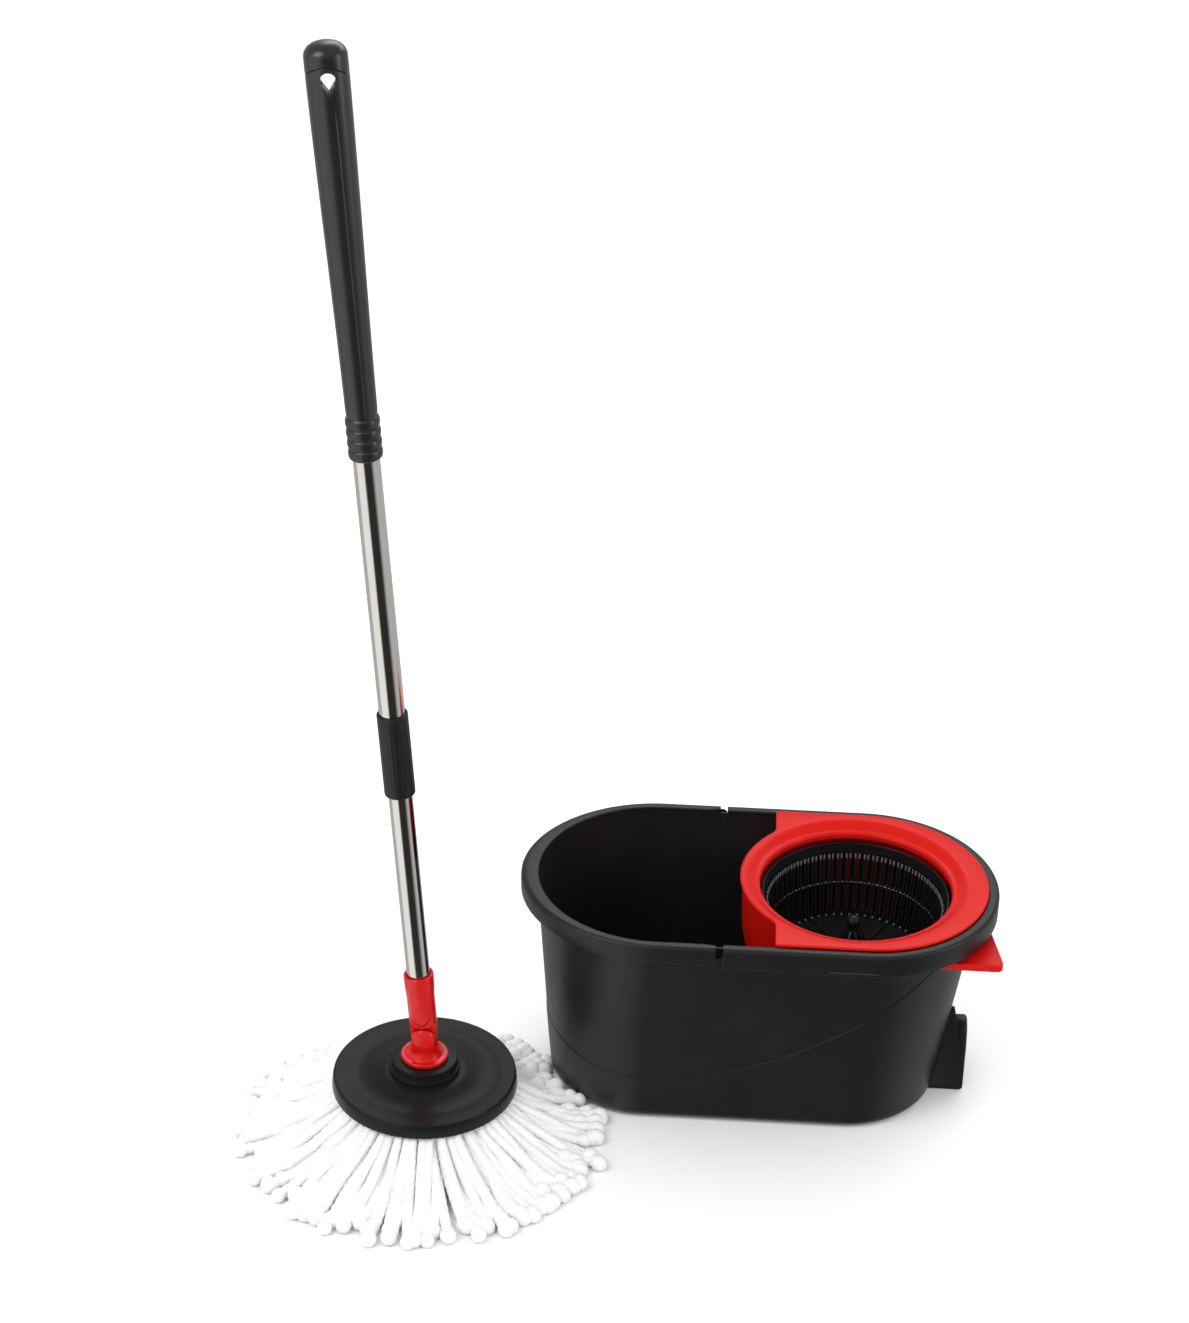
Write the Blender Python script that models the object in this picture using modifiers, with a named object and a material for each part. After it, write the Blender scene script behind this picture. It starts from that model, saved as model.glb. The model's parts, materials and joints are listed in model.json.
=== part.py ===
"""Spin mop: a tapered oval bucket with a pedal-driven wringer, and a telescopic round mop beside it.

Frame: metres, +Z up, origin on the floor under the middle of the bucket's rim. The bucket's long axis
is X, with the wringer at +X. The front is -Y. The mop stands at -X, -Y, its handle leaning to -X.
"""

import math

import bmesh
import bpy
from mathutils import Matrix, Vector

GAP = 0.0003  # between pieces that touch

# Bucket -----------------------------------------------------------------------------------------------
BUCKET_HEIGHT = 0.233
RIM_LENGTH = 0.466
RIM_WIDTH = 0.262
RIM_BAND = 0.0105  # width of the rim's flat top
RIM_TOP_THICKNESS = 0.003
RIM_SKIRT_DROP = 0.023
RIM_SKIRT_WALL = 0.0022
HANDLE_SKIRT_DROP = 0.019
WALL = 0.0022
FLOOR = 0.003
BASE_LENGTH = 0.391  # where the rounded lower edge ends
BASE_WIDTH = 0.191
BASE_SHIFT = -0.012  # middle of the base from the middle of the rim
BASE_ROUNDING = 0.012
NECK_DROP = 0.028  # from the rim's top to the highest section of the tapered wall
NECK_INSET_LEFT = 0.0105  # from the rim's outer edge to the wall at the neck
NECK_INSET_RIGHT = 0.0215
NECK_INSET_SIDE = 0.0145
END_SEGMENTS = 16  # on each round end of an oval

# Carrying handle --------------------------------------------------------------------------------------
HANDLE_PIVOT_X = -0.0425
HANDLE_PIVOT_DROP = 0.0075
HANDLE_END_X = -0.0445
RIM_START_X = -0.0345
HANDLE_LUG_RADIUS = 0.005
HANDLE_LUG_THICKNESS = 0.004
HANDLE_PIN_RADIUS = 0.0014
HANDLE_RELIEF = 0.0085  # length cut away at each end, where the swinging band would meet the bucket's wall
LEDGE_DROP = 0.0034  # top of the bucket wall under the handle

# Wringer ----------------------------------------------------------------------------------------------
WRINGER_X = 0.0918
DECK_THICKNESS = 0.0025
DECK_INSET = 0.007
DECK_LEFT_X = 0.012
HOLE_RADIUS = 0.0947
BULGE_RADIUS = 0.115
LIP_RADIUS = 0.0130
LIP_DROP = 0.0125
HOUSING_WALL = 0.002
HOUSING_TOP_RADIUS = 0.1125
HOUSING_BOTTOM_RADIUS = 0.1025
HOUSING_BOTTOM_Z = 0.128
HOUSING_FOOT_FLANGE = 0.006

BASKET_TOP_RADIUS = 0.0915
BASKET_FLOOR_RADIUS = 0.0825
BASKET_WALL = 0.002
BASKET_FLOOR_Z = 0.139
BASKET_TOP_DROP = 0.0135
BASKET_MID_DROP = 0.0560
BASKET_SLOTS = 50
BASKET_SLOT_SHARE = 0.40
BASKET_RING_HEIGHT = 0.0060
BASKET_HUB_WALL = 0.0030
POST_BASE_RADIUS = 0.024
POST_NECK_RADIUS = 0.0052
POST_BALL_RADIUS = 0.0070
POST_BALL_DROP = 0.048

# Drive ------------------------------------------------------------------------------------------------
PINION_Z = 0.059
PINION_TEETH = 10
PINION_PITCH_RADIUS = 0.012
TOOTH_ADDENDUM = 0.0014
TOOTH_DEDENDUM = 0.0018
PINION_X = (0.1885, 0.1965)
SHAFT_RADIUS = 0.0030
BEVEL_TEETH = 14
BEVEL_RADIUS = 0.013
BEVEL_FACE_SHARE = 0.56
BEVEL_ADDENDUM = 0.0010
BEVEL_DEDENDUM = 0.0014
GEARBOX_X = (0.0450, 0.1860)
GEARBOX_HALF_WIDTH = 0.0220
GEARBOX_TOP_Z = 0.083
BRACKET_X = (0.124, 0.129)
OUTER_WALL_X = (0.158, 0.163)
BUSH_WALL = 0.0020
DRIVE_SHAFT_RADIUS = 0.0040
DRIVE_SHAFT_TOP_Z = 0.1265
CLUTCH_RADIUS = 0.0140
CLUTCH_CLEARANCE = 0.0006
CLUTCH_BOTTOM_Z = 0.0960
SEAL_RADIUS = 0.0100
COVER_THICKNESS = 0.0020
SCREW_RADIUS = 0.0015
SCREW_HEAD_RADIUS = 0.0030
SCREW_LENGTH = 0.0120
SCREW_BOSS_RADIUS = 0.0036

# Pedal ------------------------------------------------------------------------------------------------
PEDAL_TRAVEL = 0.055
PEDAL_DROP = 0.0295  # from the rim's top
PEDAL_TOP_Z = BUCKET_HEIGHT - PEDAL_DROP
PEDAL_THICKNESS = 0.008
PEDAL_FRONT_Y = -0.0910
PEDAL_REACH = 0.0020  # past the rim
PEDAL_CORNER_X = RIM_LENGTH / 2 + PEDAL_REACH
PEDAL_REAR_Y = 0.0430
PEDAL_REAR_BACK = 0.0200  # inside the rim's end
PEDAL_REAR_X = RIM_LENGTH / 2 - PEDAL_REAR_BACK
PEDAL_CORNER_ROUNDING = 0.0080
PEDAL_TO_WALL = 0.0020
STEM_DEPTH = 0.0130
STEM_CLEARANCE = 0.0015
CHANNEL_SPRING_WIDTH = 0.0150
SPRING_RADIUS = 0.0042
SPRING_WIRE = 0.0005
SPRING_TURNS = 6
SPRING_LUG_Z = 0.150
SPRING_LUG_HEIGHT = 0.006
FOOT_OUTER_X = 0.214
FOOT_FRONT_Y = -0.021
FOOT_REAR_Y = 0.056
FOOT_TOP_Z = 0.077
FOOT_BOTTOM_Z = 0.0006
FOOT_OVERLAP = 0.030  # how far the block is drawn inside the bucket's base before it is cut back
FOOT_GUSSET = 0.004
FOOT_WALL = 0.003
FOOT_GUSSET_APEX = (0.1985, 0.101)

# Mop --------------------------------------------------------------------------------------------------
MOP_X = -0.326
MOP_Y = -0.108
LEAN = math.radians(4.4)
DISC_RADIUS = 0.0910
DISC_TOP_Z = 0.0560
DISC_SKIRT_Z = 0.0420
DISC_WALL = 0.0025
DISC_DISH = 0.0015
DISC_CENTRE_RISE = 0.0040
HUB_RADIUS = 0.0350
HUB_STEP_RADIUS = 0.0325
HUB_STEP_Z = 0.0650
HUB_TOP_Z = 0.0735
HUB_BORE = 0.0120
REFILL_EDGE = 0.0110  # from the disc's edge to the ring
REFILL_OUTER_RADIUS = DISC_RADIUS - REFILL_EDGE
REFILL_INNER_RADIUS = 0.0500
REFILL_THICKNESS = 0.0040
FRINGE_RADIUS = 0.1825
FRINGE_SHIFT_Y = -0.020
FRINGE_INNER_RADIUS = 0.0500
FRINGE_BUCKET_GAP = 0.0040
FLANGE_RADIUS = 0.0233
FLANGE_THICKNESS = 0.0045
AXLE_RADIUS = 0.0080
TILT_PIN_Z = 0.1000
TILT_PIN_RADIUS = 0.0030
SWIVEL_SCREW_RADIUS = 0.0020
SWIVEL_SCREW_LENGTH = 0.0155  # into the axle
EAR_RADIUS = 0.0125
EAR_THICKNESS = 0.0042
NECK_RADIUS = 0.0142
TONGUE_HALF = 0.0082
TONGUE_RADIUS = 0.0088
FERRULE_RADIUS = 0.0147
FERRULE_START = 0.0145  # along the handle from the tilt pin
FERRULE_END = 0.0735
FERRULE_SCREW_AT = 0.0460
LOWER_TUBE_RADIUS = 0.0114
UPPER_TUBE_RADIUS = 0.0123
TUBE_WALL = 0.0006
LOWER_TUBE_START = 0.0240
LOWER_TUBE_END = 0.5600
UPPER_TUBE_START = 0.3050
UPPER_TUBE_END = 0.7000
SLEEVE_START = 0.2790
SLEEVE_END = 0.3660
SLEEVE_RADIUS = 0.0147
COLLET_LENGTH = 0.0200
COLLET_SLOT = 0.0020
GRIP_START = 0.6270
GRIP_END = 0.9770
GRIP_RINGS = 4
GRIP_RING_PITCH = 0.0100
GRIP_RING_RADIUS = 0.0156
GRIP_FOOT_RADIUS = 0.0142
GRIP_HEAD_RADIUS = 0.0186
GRIP_WALL = 0.0030
GRIP_SOLID = 0.0400  # solid length at the top, round the hanging hole
CAP_END = 1.0050
HANG_HOLE_RADIUS = 0.0055
HANG_HOLE_DROP = 0.0085
HANG_HOLE_TIP = 0.0130

TURN_STEPS = 28

COLOURS = {
    "black": ((0.018, 0.018, 0.019), 0.42, 0.0),
    "satin_black": ((0.022, 0.022, 0.023), 0.35, 0.0),
    "red": ((0.72, 0.025, 0.012), 0.28, 0.0),
    "grip": ((0.045, 0.045, 0.047), 0.55, 0.0),
    "steel": ((0.62, 0.60, 0.57), 0.16, 1.0),
    "zinc": ((0.55, 0.55, 0.54), 0.35, 1.0),
    "nylon": ((0.78, 0.77, 0.73), 0.45, 0.0),
    "rubber": ((0.03, 0.03, 0.03), 0.8, 0.0),
    "microfibre": ((0.86, 0.85, 0.82), 0.95, 0.0),
}

PARTS = None
CUTTERS = None


# Scene helpers ----------------------------------------------------------------------------------------
def clear_scene():
    """Remove whatever the file opened with and make the two collections."""
    global PARTS, CUTTERS
    for old in list(bpy.data.objects):
        bpy.data.objects.remove(old, do_unlink=True)
    PARTS = bpy.data.collections.new("spin_mop")
    CUTTERS = bpy.data.collections.new("cutters")
    for collection in (PARTS, CUTTERS):
        bpy.context.scene.collection.children.link(collection)


def finish_of(name, colour):
    """A new Principled material in one of the named colours."""
    rgb, roughness, metallic = COLOURS[colour]
    material = bpy.data.materials.new(name)
    material.use_nodes = True
    shader = material.node_tree.nodes["Principled BSDF"]
    shader.inputs["Base Color"].default_value = (*rgb, 1.0)
    shader.inputs["Roughness"].default_value = roughness
    shader.inputs["Metallic"].default_value = metallic
    return material


def link(obj, colour=None, parent=None):
    """File an object as a part with a material, or as a cutter when it has no colour."""
    if colour is None:
        CUTTERS.objects.link(obj)
        obj.hide_render = True
        obj.display_type = "WIRE"
    else:
        PARTS.objects.link(obj)
        obj.data.materials.append(finish_of(obj.name, colour))
    obj.parent = parent
    return obj


def axis_point(name, location, rotation=(0.0, 0.0, 0.0), parent=None):
    """An empty on a joint's axis."""
    empty = bpy.data.objects.new(name, None)
    PARTS.objects.link(empty)
    empty.location = location
    empty.rotation_euler = rotation
    empty.parent = parent
    return empty


def from_bmesh(name, bm, colour=None, parent=None):
    """An object from a bmesh with its normals facing out and its round sides smooth."""
    bmesh.ops.recalc_face_normals(bm, faces=bm.faces)
    mesh = bpy.data.meshes.new(name)
    bm.to_mesh(mesh)
    bm.free()
    mesh.shade_smooth()
    mesh.set_sharp_from_angle(angle=math.radians(35))
    return link(bpy.data.objects.new(name, mesh), colour, parent)


def with_origin(obj, point):
    """Move an object's origin to a point on its joint's axis and leave its shape where it is."""
    obj.data.transform(Matrix.Translation(-Vector(point)))
    obj.location = point
    return obj


def box(name, low, high, colour=None, parent=None):
    """A box between two corners."""
    low, high = Vector(low), Vector(high)
    bm = bmesh.new()
    size = Matrix.Diagonal((*(high - low), 1.0))
    bmesh.ops.create_cube(bm, size=1.0, matrix=Matrix.Translation((low + high) / 2) @ size)
    return from_bmesh(name, bm, colour, parent)


def rod(name, start, end, radius, colour=None, parent=None, segments=20):
    """A cylinder between two points."""
    start, end = Vector(start), Vector(end)
    along = end - start
    bm = bmesh.new()
    turn = along.to_track_quat("Z", "Y").to_matrix().to_4x4()
    place = Matrix.Translation((start + end) / 2) @ turn
    bmesh.ops.create_cone(
        bm,
        cap_ends=True,
        segments=segments,
        radius1=radius,
        radius2=radius,
        depth=along.length,
        matrix=place,
    )
    return from_bmesh(name, bm, colour, parent)


def turned(name, profile, colour=None, parent=None, place=None, steps=TURN_STEPS):
    """A turned piece: (radius, height) points down the outside and up the inside, or from axis to axis."""
    mesh = bpy.data.meshes.new(name)
    closed = profile[0][0] > 0.0
    count = len(profile)
    edges = [(i, i + 1) for i in range(count - 1)]
    if closed:
        edges.append((count - 1, 0))
    mesh.from_pydata([(radius, 0.0, height) for radius, height in profile], edges, [])
    obj = link(bpy.data.objects.new(name, mesh), colour, parent)
    if place is not None:
        obj.matrix_local = place
    screw = obj.modifiers.new("turn", "SCREW")
    screw.steps = steps
    screw.render_steps = steps
    screw.use_merge_vertices = True
    screw.merge_threshold = 0.00001
    screw.use_smooth_shade = True
    return obj


def ring(name, inner, outer, low, high, colour=None, parent=None, place=None, steps=TURN_STEPS):
    """A plain turned ring."""
    profile = [(outer, high), (outer, low), (inner, low), (inner, high)]
    return turned(name, profile, colour, parent, place, steps)


def plate(name, outlines, thickness, place, colour=None, parent=None):
    """A flat piece from closed outlines, the first one outside and the others holes."""
    curve = bpy.data.curves.new(name, "CURVE")
    curve.dimensions = "2D"
    curve.fill_mode = "BOTH"
    curve.extrude = thickness / 2
    for outline in outlines:
        spline = curve.splines.new("POLY")
        spline.points.add(len(outline) - 1)
        for point, (x, y) in zip(spline.points, outline):
            point.co = (x, y, 0.0, 1.0)
        spline.use_cyclic_u = True
    flat = bpy.data.objects.new(name + "_outline", curve)
    CUTTERS.objects.link(flat)
    bpy.context.view_layer.update()
    evaluated = flat.evaluated_get(bpy.context.evaluated_depsgraph_get())
    mesh = bpy.data.meshes.new_from_object(evaluated)
    bpy.data.objects.remove(flat, do_unlink=True)
    bm = bmesh.new()
    bm.from_mesh(mesh)
    bmesh.ops.remove_doubles(bm, verts=bm.verts, dist=0.000001)
    bm.transform(place)
    bpy.data.meshes.remove(mesh)
    return from_bmesh(name, bm, colour, parent)


def loft(name, rings, colour=None, parent=None, closed=False):
    """Skin equal-length rings of points; closed joins the last ring to the first, else both are capped."""
    bm = bmesh.new()
    rows = [[bm.verts.new(point) for point in points] for points in rings]
    count = len(rows[0])
    pairs = list(zip(rows, rows[1:]))
    if closed:
        pairs.append((rows[-1], rows[0]))
    for lower, upper in pairs:
        for i in range(count):
            j = (i + 1) % count
            bm.faces.new((lower[i], lower[j], upper[j], upper[i]))
    if not closed:
        bm.faces.new(list(reversed(rows[0])))
        bm.faces.new(rows[-1])
    return from_bmesh(name, bm, colour, parent)


def combine(obj, operand, operation):
    """Add a Boolean modifier with the exact solver."""
    modifier = obj.modifiers.new(operation.lower(), "BOOLEAN")
    modifier.operation = operation
    modifier.object = operand
    modifier.solver = "EXACT"
    return obj


def cut(obj, *cutters):
    """Cut each cutter from an object."""
    for cutter in cutters:
        combine(obj, cutter, "DIFFERENCE")
    return obj


def join(obj, *pieces):
    """Join pieces to an object; the pieces are filed with the cutters."""
    for piece in pieces:
        combine(obj, piece, "UNION")
    return obj


# Shapes worked out once -------------------------------------------------------------------------------
def oval(x_min, x_max, half_width, height, segments=END_SEGMENTS):
    """Points round an oval with straight sides and round ends, from the left end's rear, anticlockwise."""
    points = []
    for centre, start in ((x_min + half_width, 90.0), (x_max - half_width, -90.0)):
        for step in range(segments + 1):
            angle = math.radians(start + 180.0 * step / segments)
            points.append((centre + half_width * math.cos(angle), half_width * math.sin(angle), height))
    return points


def grown(section, outward):
    """An (x_min, x_max, half_width) section moved outward all round."""
    x_min, x_max, half_width = section
    return (x_min - outward, x_max + outward, half_width + outward)


BASE = (BASE_SHIFT - BASE_LENGTH / 2, BASE_SHIFT + BASE_LENGTH / 2, BASE_WIDTH / 2)
NECK = (
    -RIM_LENGTH / 2 + NECK_INSET_LEFT,
    RIM_LENGTH / 2 - NECK_INSET_RIGHT,
    RIM_WIDTH / 2 - NECK_INSET_SIDE,
)
NECK_Z = BUCKET_HEIGHT - NECK_DROP
RIM = (-RIM_LENGTH / 2, RIM_LENGTH / 2, RIM_WIDTH / 2)
RIM_INNER = grown(RIM, -RIM_BAND)
LEDGE_Z = BUCKET_HEIGHT - LEDGE_DROP
PIVOT = Vector((HANDLE_PIVOT_X, 0.0, BUCKET_HEIGHT - HANDLE_PIVOT_DROP))
SHAFT_AXIS = Vector((WRINGER_X, 0.0, PINION_Z))
RACK_Y = PINION_PITCH_RADIUS + GAP
STEM_Y = (RACK_Y + TOOTH_DEDENDUM, RACK_Y + TOOTH_DEDENDUM + STEM_DEPTH)
CHANNEL_X = PINION_X[0] - STEM_CLEARANCE
CHANNEL_Y = (STEM_Y[0] - TOOTH_ADDENDUM - TOOTH_DEDENDUM - 0.0008, STEM_Y[1] + CHANNEL_SPRING_WIDTH)
CHANNEL_LEDGE_Z = FOOT_TOP_Z + GAP
CHANNEL_TOP_Z = PEDAL_TOP_Z + 0.0015
SPRING_AXIS = Vector(((PINION_X[0] + PINION_X[1]) / 2, STEM_Y[1] + CHANNEL_SPRING_WIDTH / 2, 0.0))
MOP = Vector((MOP_X, MOP_Y, 0.0))


def wall_section(height, outward=0.0):
    """The outer oval of the bucket's wall at a height."""
    if height >= NECK_Z:
        top = grown(RIM_INNER, WALL)
        share = min(1.0, (height - NECK_Z) / (LEDGE_Z - 0.006 - NECK_Z))
        pair = (NECK, top)
    elif height >= BASE_ROUNDING:
        share = (height - BASE_ROUNDING) / (NECK_Z - BASE_ROUNDING)
        pair = (BASE, NECK)
    else:
        rise = 1.0 - height / BASE_ROUNDING
        return grown(BASE, outward - BASE_ROUNDING * (1.0 - math.sqrt(max(0.0, 1.0 - rise * rise))))
    section = tuple(low + (high - low) * share for low, high in zip(*pair))
    return grown(section, outward)


def wall_rings(heights, outward=0.0):
    """Rings of the bucket's outer wall at these heights."""
    return [oval(*wall_section(height, outward), height) for height in heights]


def rim_strip(name, side, start_x, skirt_drop, root_drop=RIM_TOP_THICKNESS, colour=None):
    """A rim with a flat top and a skirt, round one end of the bucket as far as start_x on both sides.

    root_drop is how far its inner edge reaches down, onto the wall for the fixed half.
    """
    top = BUCKET_HEIGHT
    section = [
        (0.0, top - root_drop),
        (0.0, top - 0.0008),
        (0.0008, top),
        (RIM_BAND - 0.0040, top),
        (RIM_BAND - 0.0012, top - 0.0012),
        (RIM_BAND, top - 0.0040),
        (RIM_BAND, top - skirt_drop),
        (RIM_BAND - RIM_SKIRT_WALL, top - skirt_drop),
        (RIM_BAND - RIM_SKIRT_WALL, top - RIM_TOP_THICKNESS),
    ]
    if root_drop > RIM_TOP_THICKNESS:
        section += [(WALL, top - RIM_TOP_THICKNESS), (WALL, top - root_drop)]
    rings = []
    for outward, height in section:
        x_min, x_max, half_width = grown(RIM_INNER, outward)
        centre = x_max - half_width if side > 0 else x_min + half_width
        path = [(start_x, half_width * side, height)]
        for step in range(END_SEGMENTS + 1):
            angle = math.radians(90.0 - 180.0 * step / END_SEGMENTS)
            x = centre + side * half_width * math.cos(angle)
            path.append((x, side * half_width * math.sin(angle), height))
        path.append((start_x, -half_width * side, height))
        rings.append(path)
    bm = bmesh.new()
    rows = [[bm.verts.new(point) for point in points] for points in rings]
    count = len(rows[0])
    for lower, upper in zip(rows, rows[1:] + rows[:1]):
        for i in range(count - 1):
            bm.faces.new((lower[i], lower[i + 1], upper[i + 1], upper[i]))
    bm.faces.new([row[0] for row in rows])
    bm.faces.new([row[-1] for row in rows])
    return from_bmesh(name, bm, colour)


def gear_outline(teeth, pitch_radius, addendum, dedendum, phase=0.0):
    """Points round a gear with straight-sided teeth; phase 0 puts a tooth on +X."""
    points = []
    pitch = 2.0 * math.pi / teeth
    for tooth in range(teeth):
        middle = phase + tooth * pitch
        for share, radius in (
            (-0.27, pitch_radius - dedendum),
            (-0.13, pitch_radius + addendum),
            (0.13, pitch_radius + addendum),
            (0.27, pitch_radius - dedendum),
        ):
            angle = middle + share * pitch
            points.append((radius * math.cos(angle), radius * math.sin(angle)))
    return points


def circle(radius, segments=24):
    """Points round a circle."""
    turn = 2.0 * math.pi / segments
    return [(radius * math.cos(i * turn), radius * math.sin(i * turn)) for i in range(segments)]


def facing(axis, centre):
    """A placement whose local Z points along an axis."""
    turn = Vector(axis).to_track_quat("Z", "Y").to_matrix().to_4x4()
    return Matrix.Translation(centre) @ turn


# Bucket -----------------------------------------------------------------------------------------------
def bucket_shell():
    """Wall, floor, fixed rim, gearbox tunnel and pedal channel in one moulding."""
    outside = [0.0, 0.0015, 0.004, 0.008, BASE_ROUNDING, 0.07, 0.14, NECK_Z, LEDGE_Z - 0.006, LEDGE_Z]
    inside = [LEDGE_Z, LEDGE_Z - 0.006, NECK_Z, 0.14, 0.07, BASE_ROUNDING, 0.008, 0.005, FLOOR]
    rings = wall_rings(outside) + wall_rings(inside, -WALL)
    shell = loft("bucket_shell", rings, "black")
    rim = rim_strip("rim_right", 1.0, RIM_START_X, RIM_SKIRT_DROP, LEDGE_DROP + 0.0012)
    tunnel = box(
        "tunnel_block",
        (GEARBOX_X[0] - WALL, -GEARBOX_HALF_WIDTH - WALL, 0.0),
        (GEARBOX_X[1], GEARBOX_HALF_WIDTH + WALL, GEARBOX_TOP_Z + WALL),
    )
    channel = box(
        "channel_block",
        (CHANNEL_X - WALL, CHANNEL_Y[0] - WALL, 0.001),
        (CHANNEL_X + 0.006, CHANNEL_Y[1] + WALL, NECK_Z + 0.004),
    )
    trim_heights = [0.0, 0.0015, 0.004, 0.008, BASE_ROUNDING, 0.07, 0.14, NECK_Z, LEDGE_Z]
    inner_space = loft("outside_trim", wall_rings(trim_heights, -0.0001))
    combine(channel, inner_space, "INTERSECT")
    combine(tunnel, inner_space, "INTERSECT")
    join(shell, rim, tunnel, channel)
    cavity = box(
        "gearbox_cavity",
        (GEARBOX_X[0], -GEARBOX_HALF_WIDTH, -0.001),
        (OUTER_WALL_X[0], GEARBOX_HALF_WIDTH, GEARBOX_TOP_Z),
    )
    pinion_room = box(
        "pinion_room",
        (OUTER_WALL_X[1], -PINION_PITCH_RADIUS - 0.004, PINION_Z - PINION_PITCH_RADIUS - 0.004),
        (FOOT_OUTER_X, CHANNEL_Y[0] + 0.001, PINION_Z + PINION_PITCH_RADIUS + 0.004),
    )
    stem_room = box(
        "stem_room",
        (CHANNEL_X, CHANNEL_Y[0], -0.001),
        (RIM[1] + 0.001, STEM_Y[1] + STEM_CLEARANCE, CHANNEL_TOP_Z),
    )
    spring_room = box(
        "spring_room",
        (CHANNEL_X, STEM_Y[1], CHANNEL_LEDGE_Z),
        (RIM[1] + 0.001, CHANNEL_Y[1], CHANNEL_TOP_Z),
    )
    bush_hole = rod(
        "outer_bush_hole",
        (OUTER_WALL_X[0] - 0.001, 0.0, PINION_Z),
        (OUTER_WALL_X[1] + 0.001, 0.0, PINION_Z),
        SHAFT_RADIUS + BUSH_WALL + 2 * GAP,
    )
    drive_hole = rod(
        "drive_hole",
        (WRINGER_X, 0.0, GEARBOX_TOP_Z - 0.001),
        (WRINGER_X, 0.0, GEARBOX_TOP_Z + WALL + 0.001),
        DRIVE_SHAFT_RADIUS + BUSH_WALL + 2 * GAP,
    )
    cut(shell, cavity, pinion_room, stem_room, spring_room, bush_hole, drive_hole)
    for side in (-1.0, 1.0):
        name = "front" if side < 0 else "rear"
        y = side * (RIM_INNER[2] + WALL)
        cut(
            shell,
            rod(
                f"handle_pin_hole_{name}",
                (HANDLE_PIVOT_X, y - 0.006 * side, PIVOT.z),
                (HANDLE_PIVOT_X, y + 0.004 * side, PIVOT.z),
                HANDLE_PIN_RADIUS + GAP,
                segments=12,
            ),
        )
    return shell


def cover_screw_places():
    """Where the gearbox cover is screwed up into the tunnel's corners."""
    inset = SCREW_BOSS_RADIUS + 0.0004
    for x in (GEARBOX_X[0] + inset, OUTER_WALL_X[0] - inset):
        for side in (-1.0, 1.0):
            yield Vector((x, side * (GEARBOX_HALF_WIDTH - inset), 0.0))


def gearbox_cover():
    """Flat cover under the tunnel, with four posts that the screws draw up against the tunnel's roof."""
    low = 0.0012
    cover = box(
        "gearbox_cover",
        (GEARBOX_X[0] + GAP, -GEARBOX_HALF_WIDTH + GAP, low),
        (OUTER_WALL_X[0] - GAP, GEARBOX_HALF_WIDTH - GAP, low + COVER_THICKNESS),
        "black",
    )
    for number, place in enumerate(cover_screw_places(), 1):
        post = rod(
            f"cover_post_{number}",
            place + Vector((0.0, 0.0, low + 0.0005)),
            place + Vector((0.0, 0.0, GEARBOX_TOP_Z - GAP)),
            SCREW_BOSS_RADIUS,
            segments=12,
        )
        join(cover, post)
    for number, place in enumerate(cover_screw_places(), 1):
        hole = rod(
            f"cover_screw_hole_{number}",
            place + Vector((0.0, 0.0, -0.001)),
            place + Vector((0.0, 0.0, low + SCREW_LENGTH + 0.002)),
            SCREW_RADIUS + GAP,
            segments=12,
        )
        sink = rod(
            f"cover_screw_sink_{number}",
            place + Vector((0.0, 0.0, -0.001)),
            place + Vector((0.0, 0.0, low + 0.0018)),
            SCREW_HEAD_RADIUS + GAP,
            segments=12,
        )
        cut(cover, hole, sink)
        profile = [
            (0.0, low + SCREW_LENGTH),
            (SCREW_RADIUS * 0.5, low + SCREW_LENGTH),
            (SCREW_RADIUS, low + SCREW_LENGTH - 0.002),
            (SCREW_RADIUS, low + 0.0017),
            (SCREW_HEAD_RADIUS, low + 0.0015),
            (SCREW_HEAD_RADIUS, low + 0.0004),
            (0.0, low + 0.0004),
        ]
        turned(f"cover_screw_{number}", profile, "zinc", place=Matrix.Translation(place), steps=12)
    return cover


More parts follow.
